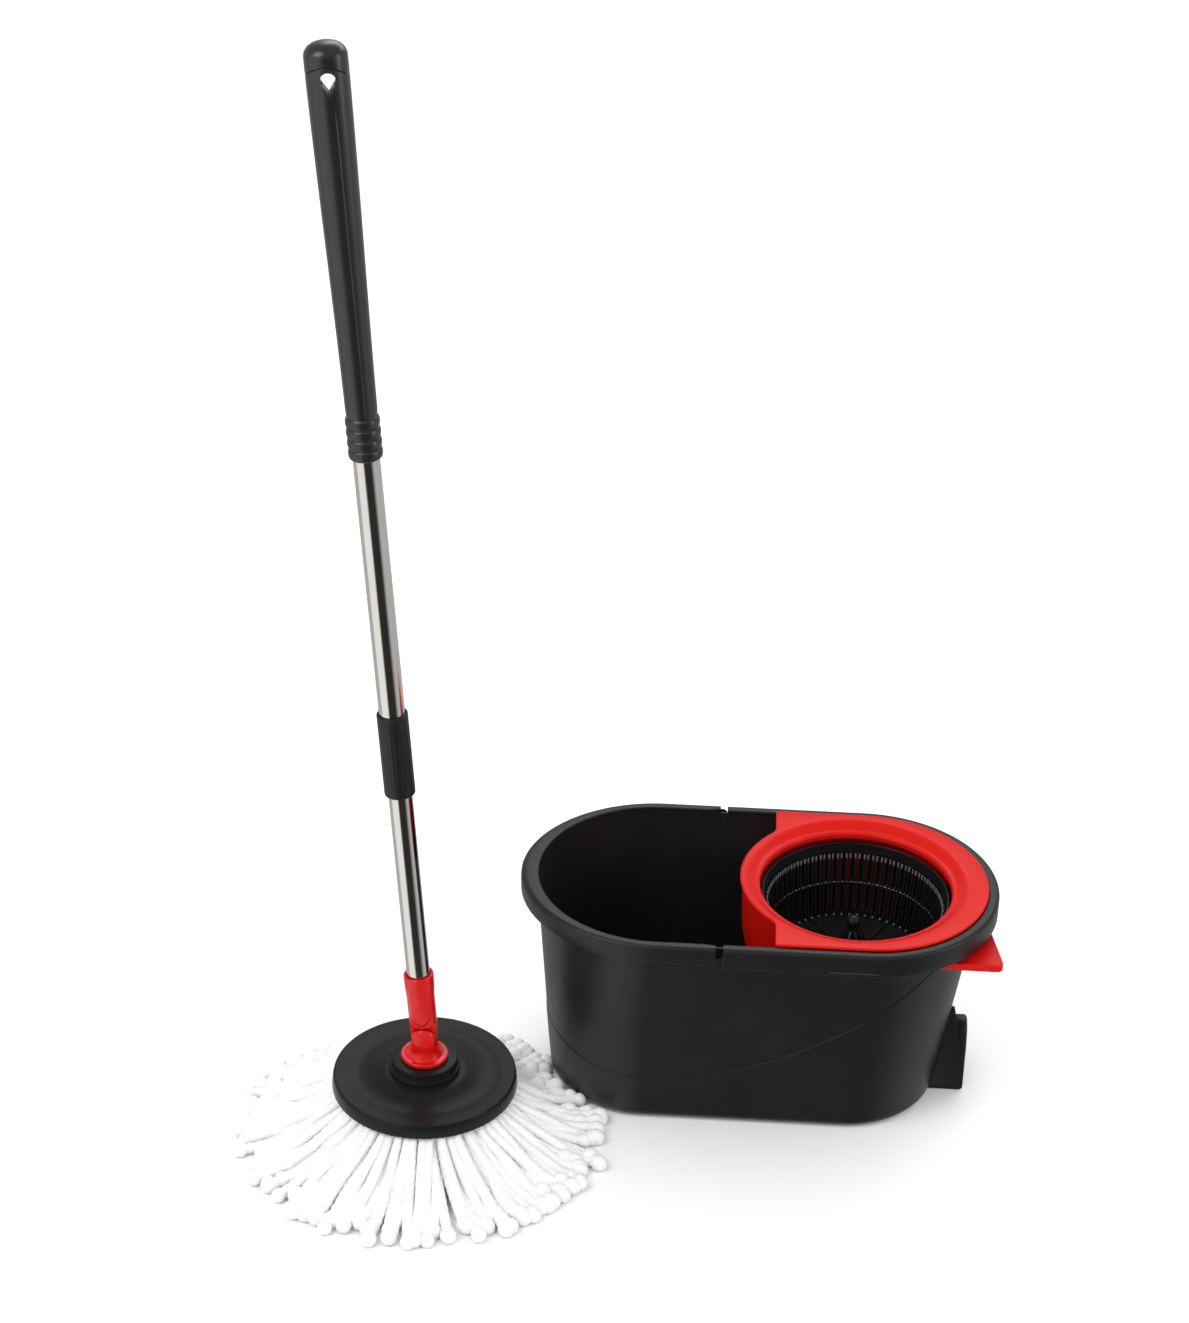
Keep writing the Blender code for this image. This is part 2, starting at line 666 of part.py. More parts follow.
def carry_handle():
    """The left half of the rim, hinged at both ends so that it swings up as a bail."""
    handle = rim_strip("carry_handle", -1.0, HANDLE_END_X, HANDLE_SKIRT_DROP, colour="black")
    for side in (-1.0, 1.0):
        name = "front" if side < 0 else "rear"
        inner = side * (RIM_INNER[2] + WALL + 0.0004)
        outer = side * (RIM_INNER[2] + WALL + 0.0004 + HANDLE_LUG_THICKNESS)
        lug = rod(
            f"handle_lug_{name}",
            (HANDLE_PIVOT_X, inner, PIVOT.z),
            (HANDLE_PIVOT_X, outer, PIVOT.z),
            HANDLE_LUG_RADIUS,
        )
        y_low, y_high = sorted((inner, outer))
        wall_low, wall_high = sorted((side * (RIM_INNER[2] - 0.001), inner))
        relief = box(
            f"handle_relief_{name}",
            (HANDLE_END_X - HANDLE_RELIEF, wall_low, BUCKET_HEIGHT - HANDLE_SKIRT_DROP - 0.001),
            (HANDLE_END_X + 0.001, wall_high, BUCKET_HEIGHT + 0.001),
        )
        cut(handle, relief)
        web = box(
            f"handle_web_{name}",
            (HANDLE_PIVOT_X - 0.016, y_low + 0.0002, PIVOT.z - HANDLE_LUG_RADIUS + 0.0005),
            (HANDLE_PIVOT_X, y_high - 0.0002, BUCKET_HEIGHT - RIM_TOP_THICKNESS + 0.0006),
        )
        hole = rod(
            f"handle_hole_{name}",
            (HANDLE_PIVOT_X, y_low - 0.002, PIVOT.z),
            (HANDLE_PIVOT_X, y_high + 0.002, PIVOT.z),
            HANDLE_PIN_RADIUS + GAP,
            segments=12,
        )
        join(handle, lug, web)
        cut(handle, hole)
        pin = rod(
            f"handle_pin_{name}",
            (HANDLE_PIVOT_X, side * (RIM_INNER[2] - 0.001), PIVOT.z),
            (HANDLE_PIVOT_X, outer, PIVOT.z),
            HANDLE_PIN_RADIUS,
            "zinc",
            segments=12,
        )
        with_origin(pin, (HANDLE_PIVOT_X, y_low, PIVOT.z))
    return with_origin(handle, PIVOT)


# Wringer ----------------------------------------------------------------------------------------------
def deck_outline(segments=28):
    """The deck's edge: along the rim round the right end, and round the wringer on the left."""
    x_min, x_max, half_width = grown(RIM, -DECK_INSET)
    centre = x_max - half_width
    points = []
    for step in range(segments + 1):
        angle = math.radians(-90.0 + 180.0 * step / segments)
        points.append((centre + half_width * math.cos(angle), half_width * math.sin(angle)))
    meet = math.acos((DECK_LEFT_X - WRINGER_X) / BULGE_RADIUS)
    points.append((DECK_LEFT_X, half_width))
    for step in range(segments + 1):
        angle = meet + (2.0 * math.pi - 2.0 * meet) * step / segments
        points.append((WRINGER_X + BULGE_RADIUS * math.cos(angle), BULGE_RADIUS * math.sin(angle)))
    points.append((DECK_LEFT_X, -half_width))
    return points


def wringer_housing():
    """Flat deck on the rim, a dished lip round the hole, and the drum that hangs inside the bucket."""
    low = BUCKET_HEIGHT + GAP
    middle = Matrix.Translation((0.0, 0.0, low + DECK_THICKNESS / 2))
    opening = [(x + WRINGER_X, y) for x, y in circle(HOUSING_TOP_RADIUS - HOUSING_WALL / 2, 44)]
    housing = plate("wringer_housing", [deck_outline(), opening], DECK_THICKNESS, middle, "red")
    top = low + DECK_THICKNESS
    place = Matrix.Translation((WRINGER_X, 0.0, 0.0))
    bowl_top = low + DECK_THICKNESS / 2
    lip_end = HOLE_RADIUS + HOUSING_WALL
    drum = [
        (BULGE_RADIUS - 0.0006, bowl_top),
        (HOUSING_TOP_RADIUS, BUCKET_HEIGHT - 0.008),
        (HOUSING_BOTTOM_RADIUS, HOUSING_BOTTOM_Z),
        (HOUSING_BOTTOM_RADIUS - HOUSING_FOOT_FLANGE, HOUSING_BOTTOM_Z),
        (HOUSING_BOTTOM_RADIUS - HOUSING_FOOT_FLANGE, HOUSING_BOTTOM_Z + HOUSING_WALL),
        (HOUSING_BOTTOM_RADIUS - HOUSING_WALL, HOUSING_BOTTOM_Z + HOUSING_WALL),
        (HOUSING_TOP_RADIUS - HOUSING_WALL, BUCKET_HEIGHT - 0.008),
        (HOUSING_TOP_RADIUS - HOUSING_WALL, low + 0.0004),
        (lip_end + LIP_RADIUS - 0.0010, low + 0.0004),
    ]
    for step in (2, 4):
        angle = math.radians(90.0 * step / 6)
        drum.append(
            (
                lip_end + LIP_RADIUS * (1.0 - math.sin(angle)),
                low + 0.0004 - (LIP_RADIUS * 0.55) * (1.0 - math.cos(angle)),
            )
        )
    drum.append((lip_end, BUCKET_HEIGHT - LIP_DROP))
    drum.append((HOLE_RADIUS, BUCKET_HEIGHT - LIP_DROP))
    lip_top = [(HOLE_RADIUS, BUCKET_HEIGHT - 0.0050)]
    for step in (5, 4, 2):
        angle = math.radians(90.0 * step / 6)
        lip_top.append(
            (
                HOLE_RADIUS + (LIP_RADIUS + 0.002) * (1.0 - math.sin(angle)),
                top - 0.0001 - (LIP_RADIUS * 0.55) * (1.0 - math.cos(angle)),
            )
        )
    drum += lip_top
    drum.append((HOLE_RADIUS + LIP_RADIUS + 0.003, top - 0.0001))
    drum.append((BULGE_RADIUS - 0.0006, top - 0.0001))
    body = turned("wringer_drum", drum, place=place, steps=44)
    notch = box(
        "stem_notch",
        (WRINGER_X + 0.040, CHANNEL_Y[0] - WALL - 0.003, HOUSING_BOTTOM_Z - 0.01),
        (WRINGER_X + 0.130, CHANNEL_Y[1] + WALL + 0.003, NECK_Z + 0.0055),
    )
    inside_deck = low + DECK_THICKNESS * 0.4
    room = [oval(*wall_section(z, -WALL - 0.0006), z) for z in (0.10, 0.14, NECK_Z)]
    room += [oval(*grown(RIM_INNER, -0.0006), z) for z in (LEDGE_Z, inside_deck)]
    room += [oval(*grown(RIM, 0.02), z) for z in (inside_deck, top + 0.02)]
    skirt_trim = loft("bucket_inside", room)
    combine(body, skirt_trim, "INTERSECT")
    join(housing, body)
    cut(housing, notch)
    return housing


def basket_wall_radius(height):
    """Middle radius of the basket's tapered wall at a height."""
    top = BUCKET_HEIGHT - BASKET_TOP_DROP
    share = (height - BASKET_FLOOR_Z) / (top - BASKET_FLOOR_Z)
    return BASKET_FLOOR_RADIUS + (BASKET_TOP_RADIUS - BASKET_FLOOR_RADIUS) * share


def basket(spin):
    """The slotted spinning basket: two rows of slots between three rings, a floor and a hub socket."""
    top = BUCKET_HEIGHT - BASKET_TOP_DROP
    middle = BUCKET_HEIGHT - BASKET_MID_DROP
    heights = [
        BASKET_FLOOR_Z,
        BASKET_FLOOR_Z + BASKET_RING_HEIGHT,
        middle - BASKET_RING_HEIGHT / 2,
        middle + BASKET_RING_HEIGHT / 2,
        top - BASKET_RING_HEIGHT,
        top,
    ]
    slotted_rows = (1, 3)
    pitch = 2.0 * math.pi / BASKET_SLOTS
    angles = []
    for slot in range(BASKET_SLOTS):
        angles += [slot * pitch, (slot + BASKET_SLOT_SHARE) * pitch]
    bm = bmesh.new()
    rows = []
    for height in heights:
        radius = basket_wall_radius(height)
        level = height - BASKET_FLOOR_Z
        rows.append([bm.verts.new((radius * math.cos(a), radius * math.sin(a), level)) for a in angles])
    count = len(angles)
    for row, (lower, upper) in enumerate(zip(rows, rows[1:])):
        for i in range(count):
            if row in slotted_rows and i % 2 == 0:
                continue
            j = (i + 1) % count
            bm.faces.new((lower[i], lower[j], upper[j], upper[i]))
    socket = CLUTCH_RADIUS + CLUTCH_CLEARANCE + BASKET_HUB_WALL / 2
    per_side = 5
    socket_angles = angles[::per_side]
    socket_foot = CLUTCH_BOTTOM_Z - BASKET_FLOOR_Z + 0.002
    inner = [bm.verts.new((socket * math.cos(a), socket * math.sin(a), 0.0)) for a in socket_angles]
    foot = [bm.verts.new((socket * math.cos(a), socket * math.sin(a), socket_foot)) for a in socket_angles]
    sides = len(socket_angles)
    for i in range(sides):
        j = (i + 1) % sides
        edge = [rows[0][(i * per_side + step) % count] for step in range(per_side, -1, -1)]
        bm.faces.new((*edge, inner[i], inner[j]))
        bm.faces.new((inner[j], inner[i], foot[i], foot[j]))
    mesh = bpy.data.meshes.new("basket")
    bm.to_mesh(mesh)
    bm.free()
    obj = link(bpy.data.objects.new("basket", mesh), "satin_black", spin)
    solid = obj.modifiers.new("wall", "SOLIDIFY")
    solid.thickness = BASKET_WALL
    solid.offset = 0.0
    solid.use_even_offset = True
    return obj


def basket_post(spin):
    """Turned cone with a ball tip that centres the mop's disc in the basket."""
    low = BASKET_WALL / 2 + GAP
    ball = BUCKET_HEIGHT - POST_BALL_DROP - BASKET_FLOOR_Z
    meet = math.asin(POST_NECK_RADIUS / POST_BALL_RADIUS)
    profile = [(0.0, ball + POST_BALL_RADIUS)]
    steps = 7
    for step in range(1, steps + 1):
        angle = (math.pi - meet) * step / steps
        profile.append((POST_BALL_RADIUS * math.sin(angle), ball + POST_BALL_RADIUS * math.cos(angle)))
    profile += [
        (POST_NECK_RADIUS + 0.0030, ball - 0.016),
        (POST_NECK_RADIUS + 0.0090, low + 0.0090),
        (POST_BASE_RADIUS - 0.0030, low + 0.0035),
        (POST_BASE_RADIUS, low + 0.0020),
        (POST_BASE_RADIUS, low),
        (0.0, low),
    ]
    return turned("basket_post", profile, "satin_black", spin, steps=20)


# Drive ------------------------------------------------------------------------------------------------
def toothed_cone(name, axis, phase, colour, parent):
    """A bevel gear along the given axis, whose teeth point back at the crossing of the two shafts."""
    outline = gear_outline(BEVEL_TEETH, BEVEL_RADIUS, BEVEL_ADDENDUM, BEVEL_DEDENDUM, phase)
    rings = []
    for share in (BEVEL_FACE_SHARE, 1.0):
        rings.append([(x * share, y * share, BEVEL_RADIUS * share) for x, y in outline])
    back = BEVEL_RADIUS + 0.0025
    rings.append([(x * 0.72, y * 0.72, back) for x, y in outline])
    gear = loft(name, rings, colour, parent)
    bore = DRIVE_SHAFT_RADIUS if axis == "Z" else SHAFT_RADIUS
    hole = rod(name + "_bore", (0.0, 0.0, 0.0), (0.0, 0.0, back + 0.01), bore + GAP, parent=parent)
    if axis == "X":
        for obj in (gear, hole):
            obj.data.transform(Matrix(((0, 0, 1, 0), (0, 1, 0, 0), (-1, 0, 0, 0), (0, 0, 0, 1))))
    cut(gear, hole)
    return gear


def pinion_line(turn):
    """Horizontal shaft with the pinion that the pedal's rack turns and the small bevel gear."""
    outer_end = FOOT_OUTER_X - 0.0010 - WRINGER_X
    inner_end = BEVEL_RADIUS * BEVEL_FACE_SHARE + 0.0006
    rod("pinion_shaft", (inner_end, 0.0, 0.0), (outer_end, 0.0, 0.0), SHAFT_RADIUS, "steel", turn)
    quarter = math.radians(90)
    outline = gear_outline(PINION_TEETH, PINION_PITCH_RADIUS, TOOTH_ADDENDUM, TOOTH_DEDENDUM, quarter)
    width = PINION_X[1] - PINION_X[0]
    centre = ((PINION_X[0] + PINION_X[1]) / 2 - WRINGER_X, 0.0, 0.0)
    upright = Matrix.Rotation(quarter, 4, "Z") @ Matrix.Rotation(quarter, 4, "X")
    lay = Matrix.Translation(centre) @ upright @ Matrix.Rotation(quarter, 4, "Z")
    outlines = [outline, circle(SHAFT_RADIUS + GAP)]
    plate("pinion_gear", outlines, width, lay, "nylon", turn)
    toothed_cone("bevel_pinion", "X", 0.0, "nylon", turn)


def drive_line(turn):
    """Vertical shaft with the large bevel gear below the tunnel's roof and the clutch hub above it."""
    low = BEVEL_RADIUS * BEVEL_FACE_SHARE + 0.0006
    high = DRIVE_SHAFT_TOP_Z - PINION_Z
    rod("drive_shaft", (0.0, 0.0, low), (0.0, 0.0, high), DRIVE_SHAFT_RADIUS, "steel", turn)
    toothed_cone("bevel_wheel", "Z", math.pi / BEVEL_TEETH, "nylon", turn)
    bottom = CLUTCH_BOTTOM_Z - PINION_Z
    roof = BASKET_FLOOR_Z - BASKET_WALL / 2 - PINION_Z
    profile = [
        (CLUTCH_RADIUS - 0.001, roof - 0.0010),
        (CLUTCH_RADIUS, roof - 0.0020),
        (CLUTCH_RADIUS, bottom),
        (DRIVE_SHAFT_RADIUS + GAP, bottom),
        (DRIVE_SHAFT_RADIUS + GAP, roof - 0.0010),
    ]
    turned("clutch_hub", profile, "nylon", turn, steps=24)


def fixed_bearings():
    """Bushes, bracket and seal that carry the two shafts."""
    bush = SHAFT_RADIUS + BUSH_WALL
    along = facing((1.0, 0.0, 0.0), (0.0, 0.0, PINION_Z))
    ring("shaft_bush_outer", SHAFT_RADIUS + GAP, bush, *OUTER_WALL_X, "nylon", place=along, steps=16)
    ring("shaft_bush_inner", SHAFT_RADIUS + GAP, bush, *BRACKET_X, "nylon", place=along, steps=16)
    bracket = box(
        "bearing_bracket",
        (BRACKET_X[0], -GEARBOX_HALF_WIDTH + GAP, COVER_THICKNESS + 0.0012 + GAP),
        (BRACKET_X[1], GEARBOX_HALF_WIDTH - GAP, GEARBOX_TOP_Z - GAP),
        "nylon",
    )
    hole = rod(
        "bracket_hole",
        (BRACKET_X[0] - 0.001, 0.0, PINION_Z),
        (BRACKET_X[1] + 0.001, 0.0, PINION_Z),
        bush + GAP,
    )
    cut(bracket, hole)
    upright = Matrix.Translation((WRINGER_X, 0.0, 0.0))
    inner = DRIVE_SHAFT_RADIUS + GAP
    flange_low = GEARBOX_TOP_Z + WALL + GAP
    profile = [
        (SEAL_RADIUS, flange_low + 0.0015),
        (SEAL_RADIUS, flange_low),
        (DRIVE_SHAFT_RADIUS + BUSH_WALL + GAP, flange_low),
        (DRIVE_SHAFT_RADIUS + BUSH_WALL + GAP, GEARBOX_TOP_Z - 0.0040),
        (inner, GEARBOX_TOP_Z - 0.0040),
        (inner, flange_low + 0.0015),
    ]
    turned("drive_bush", profile, "nylon", place=upright, steps=20)
    seal_low = flange_low + 0.0015 + GAP
    ring("shaft_seal", inner, SEAL_RADIUS, seal_low, seal_low + 0.0030, "rubber", place=upright, steps=20)


# Pedal ------------------------------------------------------------------------------------------------
def pedal():
    """Foot plate at the corner, wrapped under the rim, with a stem and rack that run down the channel."""
    body = wall_section(PEDAL_TOP_Z, PEDAL_TO_WALL)
    centre = body[1] - body[2]
    outline = [(centre + math.sqrt(body[2] ** 2 - PEDAL_FRONT_Y**2), PEDAL_FRONT_Y)]
    slope = Vector((PEDAL_REAR_X - PEDAL_CORNER_X, PEDAL_REAR_Y - PEDAL_FRONT_Y)).normalized()
    corner = Vector((PEDAL_CORNER_X, PEDAL_FRONT_Y))
    before = corner - Vector((PEDAL_CORNER_ROUNDING, 0.0))
    after = corner + slope * PEDAL_CORNER_ROUNDING
    for step in range(7):
        share = step / 6
        point = before.lerp(corner, share).lerp(corner.lerp(after, share), share)
        outline.append((point.x, point.y))
    outline.append((PEDAL_REAR_X, PEDAL_REAR_Y))
    start = math.asin(PEDAL_REAR_Y / body[2])
    end = math.asin(PEDAL_FRONT_Y / body[2])
    for step in range(18):
        angle = start + (end - start) * step / 18
        outline.append((centre + body[2] * math.cos(angle), body[2] * math.sin(angle)))
    middle = Matrix.Translation((0.0, 0.0, PEDAL_TOP_Z - PEDAL_THICKNESS / 2))
    foot = plate("pedal", [outline], PEDAL_THICKNESS, middle, "red")
    pitch = 2.0 * math.pi * PINION_PITCH_RADIUS / PINION_TEETH
    side = [(STEM_Y[1], PEDAL_TOP_Z - 0.001), (STEM_Y[1], PINION_Z), (STEM_Y[0], PINION_Z)]
    teeth = int((PEDAL_TRAVEL + 0.5 * pitch) / pitch) + 1
    for tooth in range(teeth):
        middle_z = PINION_Z + (tooth + 0.5) * pitch
        reach = STEM_Y[0] - TOOTH_ADDENDUM - TOOTH_DEDENDUM
        side += [
            (STEM_Y[0], middle_z - 0.26 * pitch),
            (reach, middle_z - 0.12 * pitch),
            (reach, middle_z + 0.12 * pitch),
            (STEM_Y[0], middle_z + 0.26 * pitch),
        ]
    side.append((STEM_Y[0], PEDAL_TOP_Z - 0.001))
    stem_centre = ((PINION_X[0] + PINION_X[1]) / 2, 0.0, 0.0)
    stand = Matrix(((0, 0, 1, 0), (1, 0, 0, 0), (0, 1, 0, 0), (0, 0, 0, 1)))
    stem = plate("pedal_stem", [side], PINION_X[1] - PINION_X[0], Matrix.Translation(stem_centre) @ stand)
    lug = box(
        "pedal_spring_lug",
        (PINION_X[0], STEM_Y[1] - 0.001, SPRING_LUG_Z),
        (PINION_X[1], CHANNEL_Y[1] - STEM_CLEARANCE, SPRING_LUG_Z + SPRING_LUG_HEIGHT),
    )
    bridge = box(
        "pedal_bridge",
        (PINION_X[0], STEM_Y[0], PEDAL_TOP_Z - PEDAL_THICKNESS),
        (centre + body[2], STEM_Y[1], PEDAL_TOP_Z - 0.0005),
    )
    join(foot, bridge, stem, lug)
    return foot


def return_spring():
    """Compression spring between the channel's ledge and the pedal's lug."""
    low = CHANNEL_LEDGE_Z + SPRING_WIRE + GAP
    high = SPRING_LUG_Z - SPRING_WIRE - GAP
    per_turn = 8
    curve = bpy.data.curves.new("return_spring", "CURVE")
    curve.dimensions = "3D"
    curve.bevel_depth = SPRING_WIRE
    curve.bevel_resolution = 1
    curve.use_fill_caps = True
    spline = curve.splines.new("POLY")
    total = SPRING_TURNS * per_turn
    spline.points.add(total)
    for step, point in enumerate(spline.points):
        angle = 2.0 * math.pi * step / per_turn
        z = low + (high - low) * step / total
        point.co = (
            SPRING_AXIS.x + SPRING_RADIUS * math.cos(angle),
            SPRING_AXIS.y + SPRING_RADIUS * math.sin(angle),
            z,
            1.0,
        )
    return link(bpy.data.objects.new("return_spring", curve), "zinc")


def foot_housing():
    """Closed block at the foot of the channel, with a gusset at its front."""
    inside_x = BASE[1] - FOOT_OVERLAP
    block = box(
        "foot_housing",
        (inside_x, FOOT_FRONT_Y, FOOT_BOTTOM_Z),
        (FOOT_OUTER_X, FOOT_REAR_Y, FOOT_TOP_Z),
        "black",
    )
    apex_x, apex_z = FOOT_GUSSET_APEX
    side = [
        (inside_x, FOOT_BOTTOM_Z),
        (FOOT_OUTER_X - 0.003, FOOT_BOTTOM_Z),
        (FOOT_OUTER_X + 0.002, 0.0060),
        (FOOT_OUTER_X + 0.001, 0.0250),
        (apex_x, apex_z),
        (apex_x - 0.012, apex_z),
        (inside_x, FOOT_TOP_Z),
    ]
    stand = Matrix(((1, 0, 0, 0), (0, 0, -1, FOOT_FRONT_Y + FOOT_GUSSET / 2), (0, 1, 0, 0), (0, 0, 0, 1)))
    gusset = plate("foot_gusset", [side], FOOT_GUSSET, stand)
    join(block, gusset)
    heights = [-0.0001, 0.0015, 0.004, 0.008, BASE_ROUNDING, 0.07, 0.14]
    wall = loft("bucket_outside", wall_rings(heights, GAP))
    hollow = box(
        "foot_hollow",
        (inside_x - 0.01, FOOT_FRONT_Y + FOOT_GUSSET, -0.001),
        (FOOT_OUTER_X - FOOT_WALL, FOOT_REAR_Y - FOOT_WALL, FOOT_TOP_Z - FOOT_WALL),
    )
    stem_room = box(
        "foot_stem_room",
        (inside_x - 0.01, CHANNEL_Y[0], FOOT_TOP_Z - 0.01),
        (PINION_X[1] + STEM_CLEARANCE, STEM_Y[1] + STEM_CLEARANCE, FOOT_TOP_Z + 0.01),
    )
    shaft_hole = rod(
        "foot_shaft_hole",
        (FOOT_OUTER_X - FOOT_WALL - 0.001, 0.0, PINION_Z),
        (FOOT_OUTER_X - 0.0006, 0.0, PINION_Z),
        SHAFT_RADIUS + GAP,
    )
    cut(block, wall, hollow, stem_room, shaft_hole)
    return block


# Mop --------------------------------------------------------------------------------------------------
def mop_disc(stand):
    """Round plate with a beaded edge and a short skirt."""
    centre_top = DISC_TOP_Z + DISC_CENTRE_RISE
    profile = [
        (HUB_RADIUS + 0.004, centre_top),
        (DISC_RADIUS * 0.62, DISC_TOP_Z - DISC_DISH),
        (DISC_RADIUS * 0.90, DISC_TOP_Z - DISC_DISH * 0.4),
        (DISC_RADIUS - 0.0030, DISC_TOP_Z),
        (DISC_RADIUS - 0.0010, DISC_TOP_Z - 0.0008),
        (DISC_RADIUS, DISC_TOP_Z - 0.0030),
        (DISC_RADIUS + 0.0006, DISC_SKIRT_Z),
        (DISC_RADIUS + 0.0006 - DISC_WALL, DISC_SKIRT_Z),
        (DISC_RADIUS - DISC_WALL, DISC_TOP_Z - 0.0030 - DISC_WALL * 0.5),
        (DISC_RADIUS * 0.62, DISC_TOP_Z - DISC_DISH - DISC_WALL),
        (HUB_RADIUS + 0.003, centre_top - DISC_WALL),
        (HUB_BORE + GAP, centre_top - DISC_WALL),
        (HUB_BORE + GAP, centre_top),
    ]
    return turned("mop_disc", profile, "black", stand, steps=44)


def hub_cap(stand):
    """Two-step round boss on the disc that carries the swivel."""
    low = DISC_TOP_Z + DISC_CENTRE_RISE + GAP
    top = HUB_TOP_Z
    bore = AXLE_RADIUS + GAP
    profile = [
        (HUB_STEP_RADIUS - 0.0008, top),
        (HUB_STEP_RADIUS, top - 0.0008),
        (HUB_STEP_RADIUS, HUB_STEP_Z + 0.0005),
        (HUB_RADIUS - 0.0006, HUB_STEP_Z),
        (HUB_RADIUS, HUB_STEP_Z - 0.0008),
        (HUB_RADIUS, low),
        (HUB_BORE, low),
        (HUB_BORE, low - DISC_WALL - GAP),
        (bore, low - DISC_WALL - GAP),
        (bore, top),
    ]
    return turned("hub_cap", profile, "black", stand)


def refill_ring(stand):
    """Ring that the strands are sewn to, snapped up inside the disc."""
    top = DISC_TOP_Z - DISC_DISH - DISC_WALL - 2 * GAP
    return ring(
        "refill_ring",
        REFILL_INNER_RADIUS,
        REFILL_OUTER_RADIUS,
        top - REFILL_THICKNESS,
        top,
        "nylon",
        stand,
        steps=36,
    )


def fringe(stand):
    """Outer shape of the spread strands: a low ring on the floor, flattened where the bucket stands."""
    centre = Vector((0.0, FRINGE_SHIFT_Y))
    bucket_end = Vector((BASE[0] + BASE[2] - MOP_X, -MOP_Y))
    away = bucket_end - centre
    wall_at_fringe = wall_section(0.035)
    reach = away.length - wall_at_fringe[2] - FRINGE_BUCKET_GAP
    away.normalize()
    segments = 32
    ring_top = DISC_TOP_Z - DISC_DISH - DISC_WALL - 2 * GAP - REFILL_THICKNESS - GAP
    edge = DISC_RADIUS + 0.003
    under_skirt = DISC_SKIRT_Z - 0.0012
    near = [(FRINGE_INNER_RADIUS, 0.0), (FRINGE_INNER_RADIUS, ring_top), (DISC_RADIUS - 0.0075, ring_top)]
    near += [(DISC_RADIUS - 0.0040, under_skirt), (edge, under_skirt - 0.0008)]
    far = [(0.50, 0.0270), (0.86, 0.0150), (0.98, 0.0075), (1.0, 0.0035), (0.97, 0.0)]
    rings = [[] for _ in near + far]
    for step in range(segments):
        angle = 2.0 * math.pi * step / segments
        heading = Vector((math.cos(angle), math.sin(angle)))
        toward = heading.dot(away)
        outer = min(FRINGE_RADIUS, reach / toward) if toward > 0.0 else FRINGE_RADIUS
        rim_point = centre + heading * outer
        for points, (radius, height) in zip(rings, near):
            points.append((heading.x * radius, heading.y * radius, height))
        for points, (share, height) in zip(rings[len(near):], far):
            point = (heading * edge).lerp(rim_point, share)
            points.append((point.x, point.y, height))
    return loft("fringe", rings, "microfibre", stand, closed=True)


def swivel_base(spin):
    """Flange with a flared neck and two ears that hold the tilt pin, and an axle down through the hub."""
    flange_low = HUB_TOP_Z + GAP
    flange_top = flange_low + FLANGE_THICKNESS
    neck_top = TILT_PIN_Z - EAR_RADIUS - 0.0005
    axle_low = DISC_TOP_Z + DISC_CENTRE_RISE - DISC_WALL
    profile = [
        (0.0, neck_top),
        (NECK_RADIUS, neck_top),
        (NECK_RADIUS + 0.0008, flange_top + 0.0040),
        (NECK_RADIUS + 0.0030, flange_top + 0.0010),
        (FLANGE_RADIUS - 0.0012, flange_top),
        (FLANGE_RADIUS, flange_top - 0.0012),
        (FLANGE_RADIUS, flange_low + 0.0008),
        (FLANGE_RADIUS - 0.0008, flange_low),
        (AXLE_RADIUS, flange_low),
        (AXLE_RADIUS, axle_low),
        (0.0, axle_low),
    ]
    base = turned("swivel_base", profile, "red", spin)
    for side in (-1.0, 1.0):
        name = "front" if side < 0 else "rear"
        inner = side * (TONGUE_HALF + GAP)
        outer = side * (TONGUE_HALF + GAP + EAR_THICKNESS)
        ear = rod(
            f"ear_{name}",
            (0.0, inner, TILT_PIN_Z),
            (0.0, outer, TILT_PIN_Z),
            EAR_RADIUS,
            parent=spin,
            segments=24,
        )
        y_low, y_high = sorted((inner, outer))
        foot = box(
            f"ear_foot_{name}",
            (-EAR_RADIUS, y_low, flange_top - 0.001),
            (EAR_RADIUS, y_high, TILT_PIN_Z),
            parent=spin,
        )
        join(base, foot, ear)
    pin_hole = rod(
        "ear_hole",
        (0.0, -0.03, TILT_PIN_Z),
        (0.0, 0.03, TILT_PIN_Z),
        TILT_PIN_RADIUS + GAP,
        parent=spin,
    )
    screw_hole = rod(
        "axle_hole",
        (0.0, 0.0, axle_low - 0.001),
        (0.0, 0.0, axle_low + SWIVEL_SCREW_LENGTH + 0.001),
        SWIVEL_SCREW_RADIUS + GAP,
        parent=spin,
    )
    cut(base, pin_hole, screw_hole)
    washer_top = axle_low - GAP
    washer_low = washer_top - 0.0012
    washer_bore = SWIVEL_SCREW_RADIUS + GAP
    ring("swivel_washer", washer_bore, HUB_BORE - 0.0020, washer_low, washer_top, "zinc", spin, steps=20)
    head_top = washer_low - GAP
    screw = [
        (0.0, axle_low + SWIVEL_SCREW_LENGTH),
        (SWIVEL_SCREW_RADIUS * 0.5, axle_low + SWIVEL_SCREW_LENGTH),
        (SWIVEL_SCREW_RADIUS, axle_low + SWIVEL_SCREW_LENGTH - 0.0020),
        (SWIVEL_SCREW_RADIUS, head_top),
        (0.0042, head_top),
        (0.0036, head_top - 0.0026),
        (0.0, head_top - 0.0026),
    ]
    turned("swivel_screw", screw, "zinc", spin, steps=20)
    half = TONGUE_HALF + GAP + EAR_THICKNESS - 0.0004
    pin = rod("tilt_pin", (0, -half, TILT_PIN_Z), (0, half, TILT_PIN_Z), TILT_PIN_RADIUS, "zinc", spin)
    return with_origin(pin, (0.0, 0.0, TILT_PIN_Z))


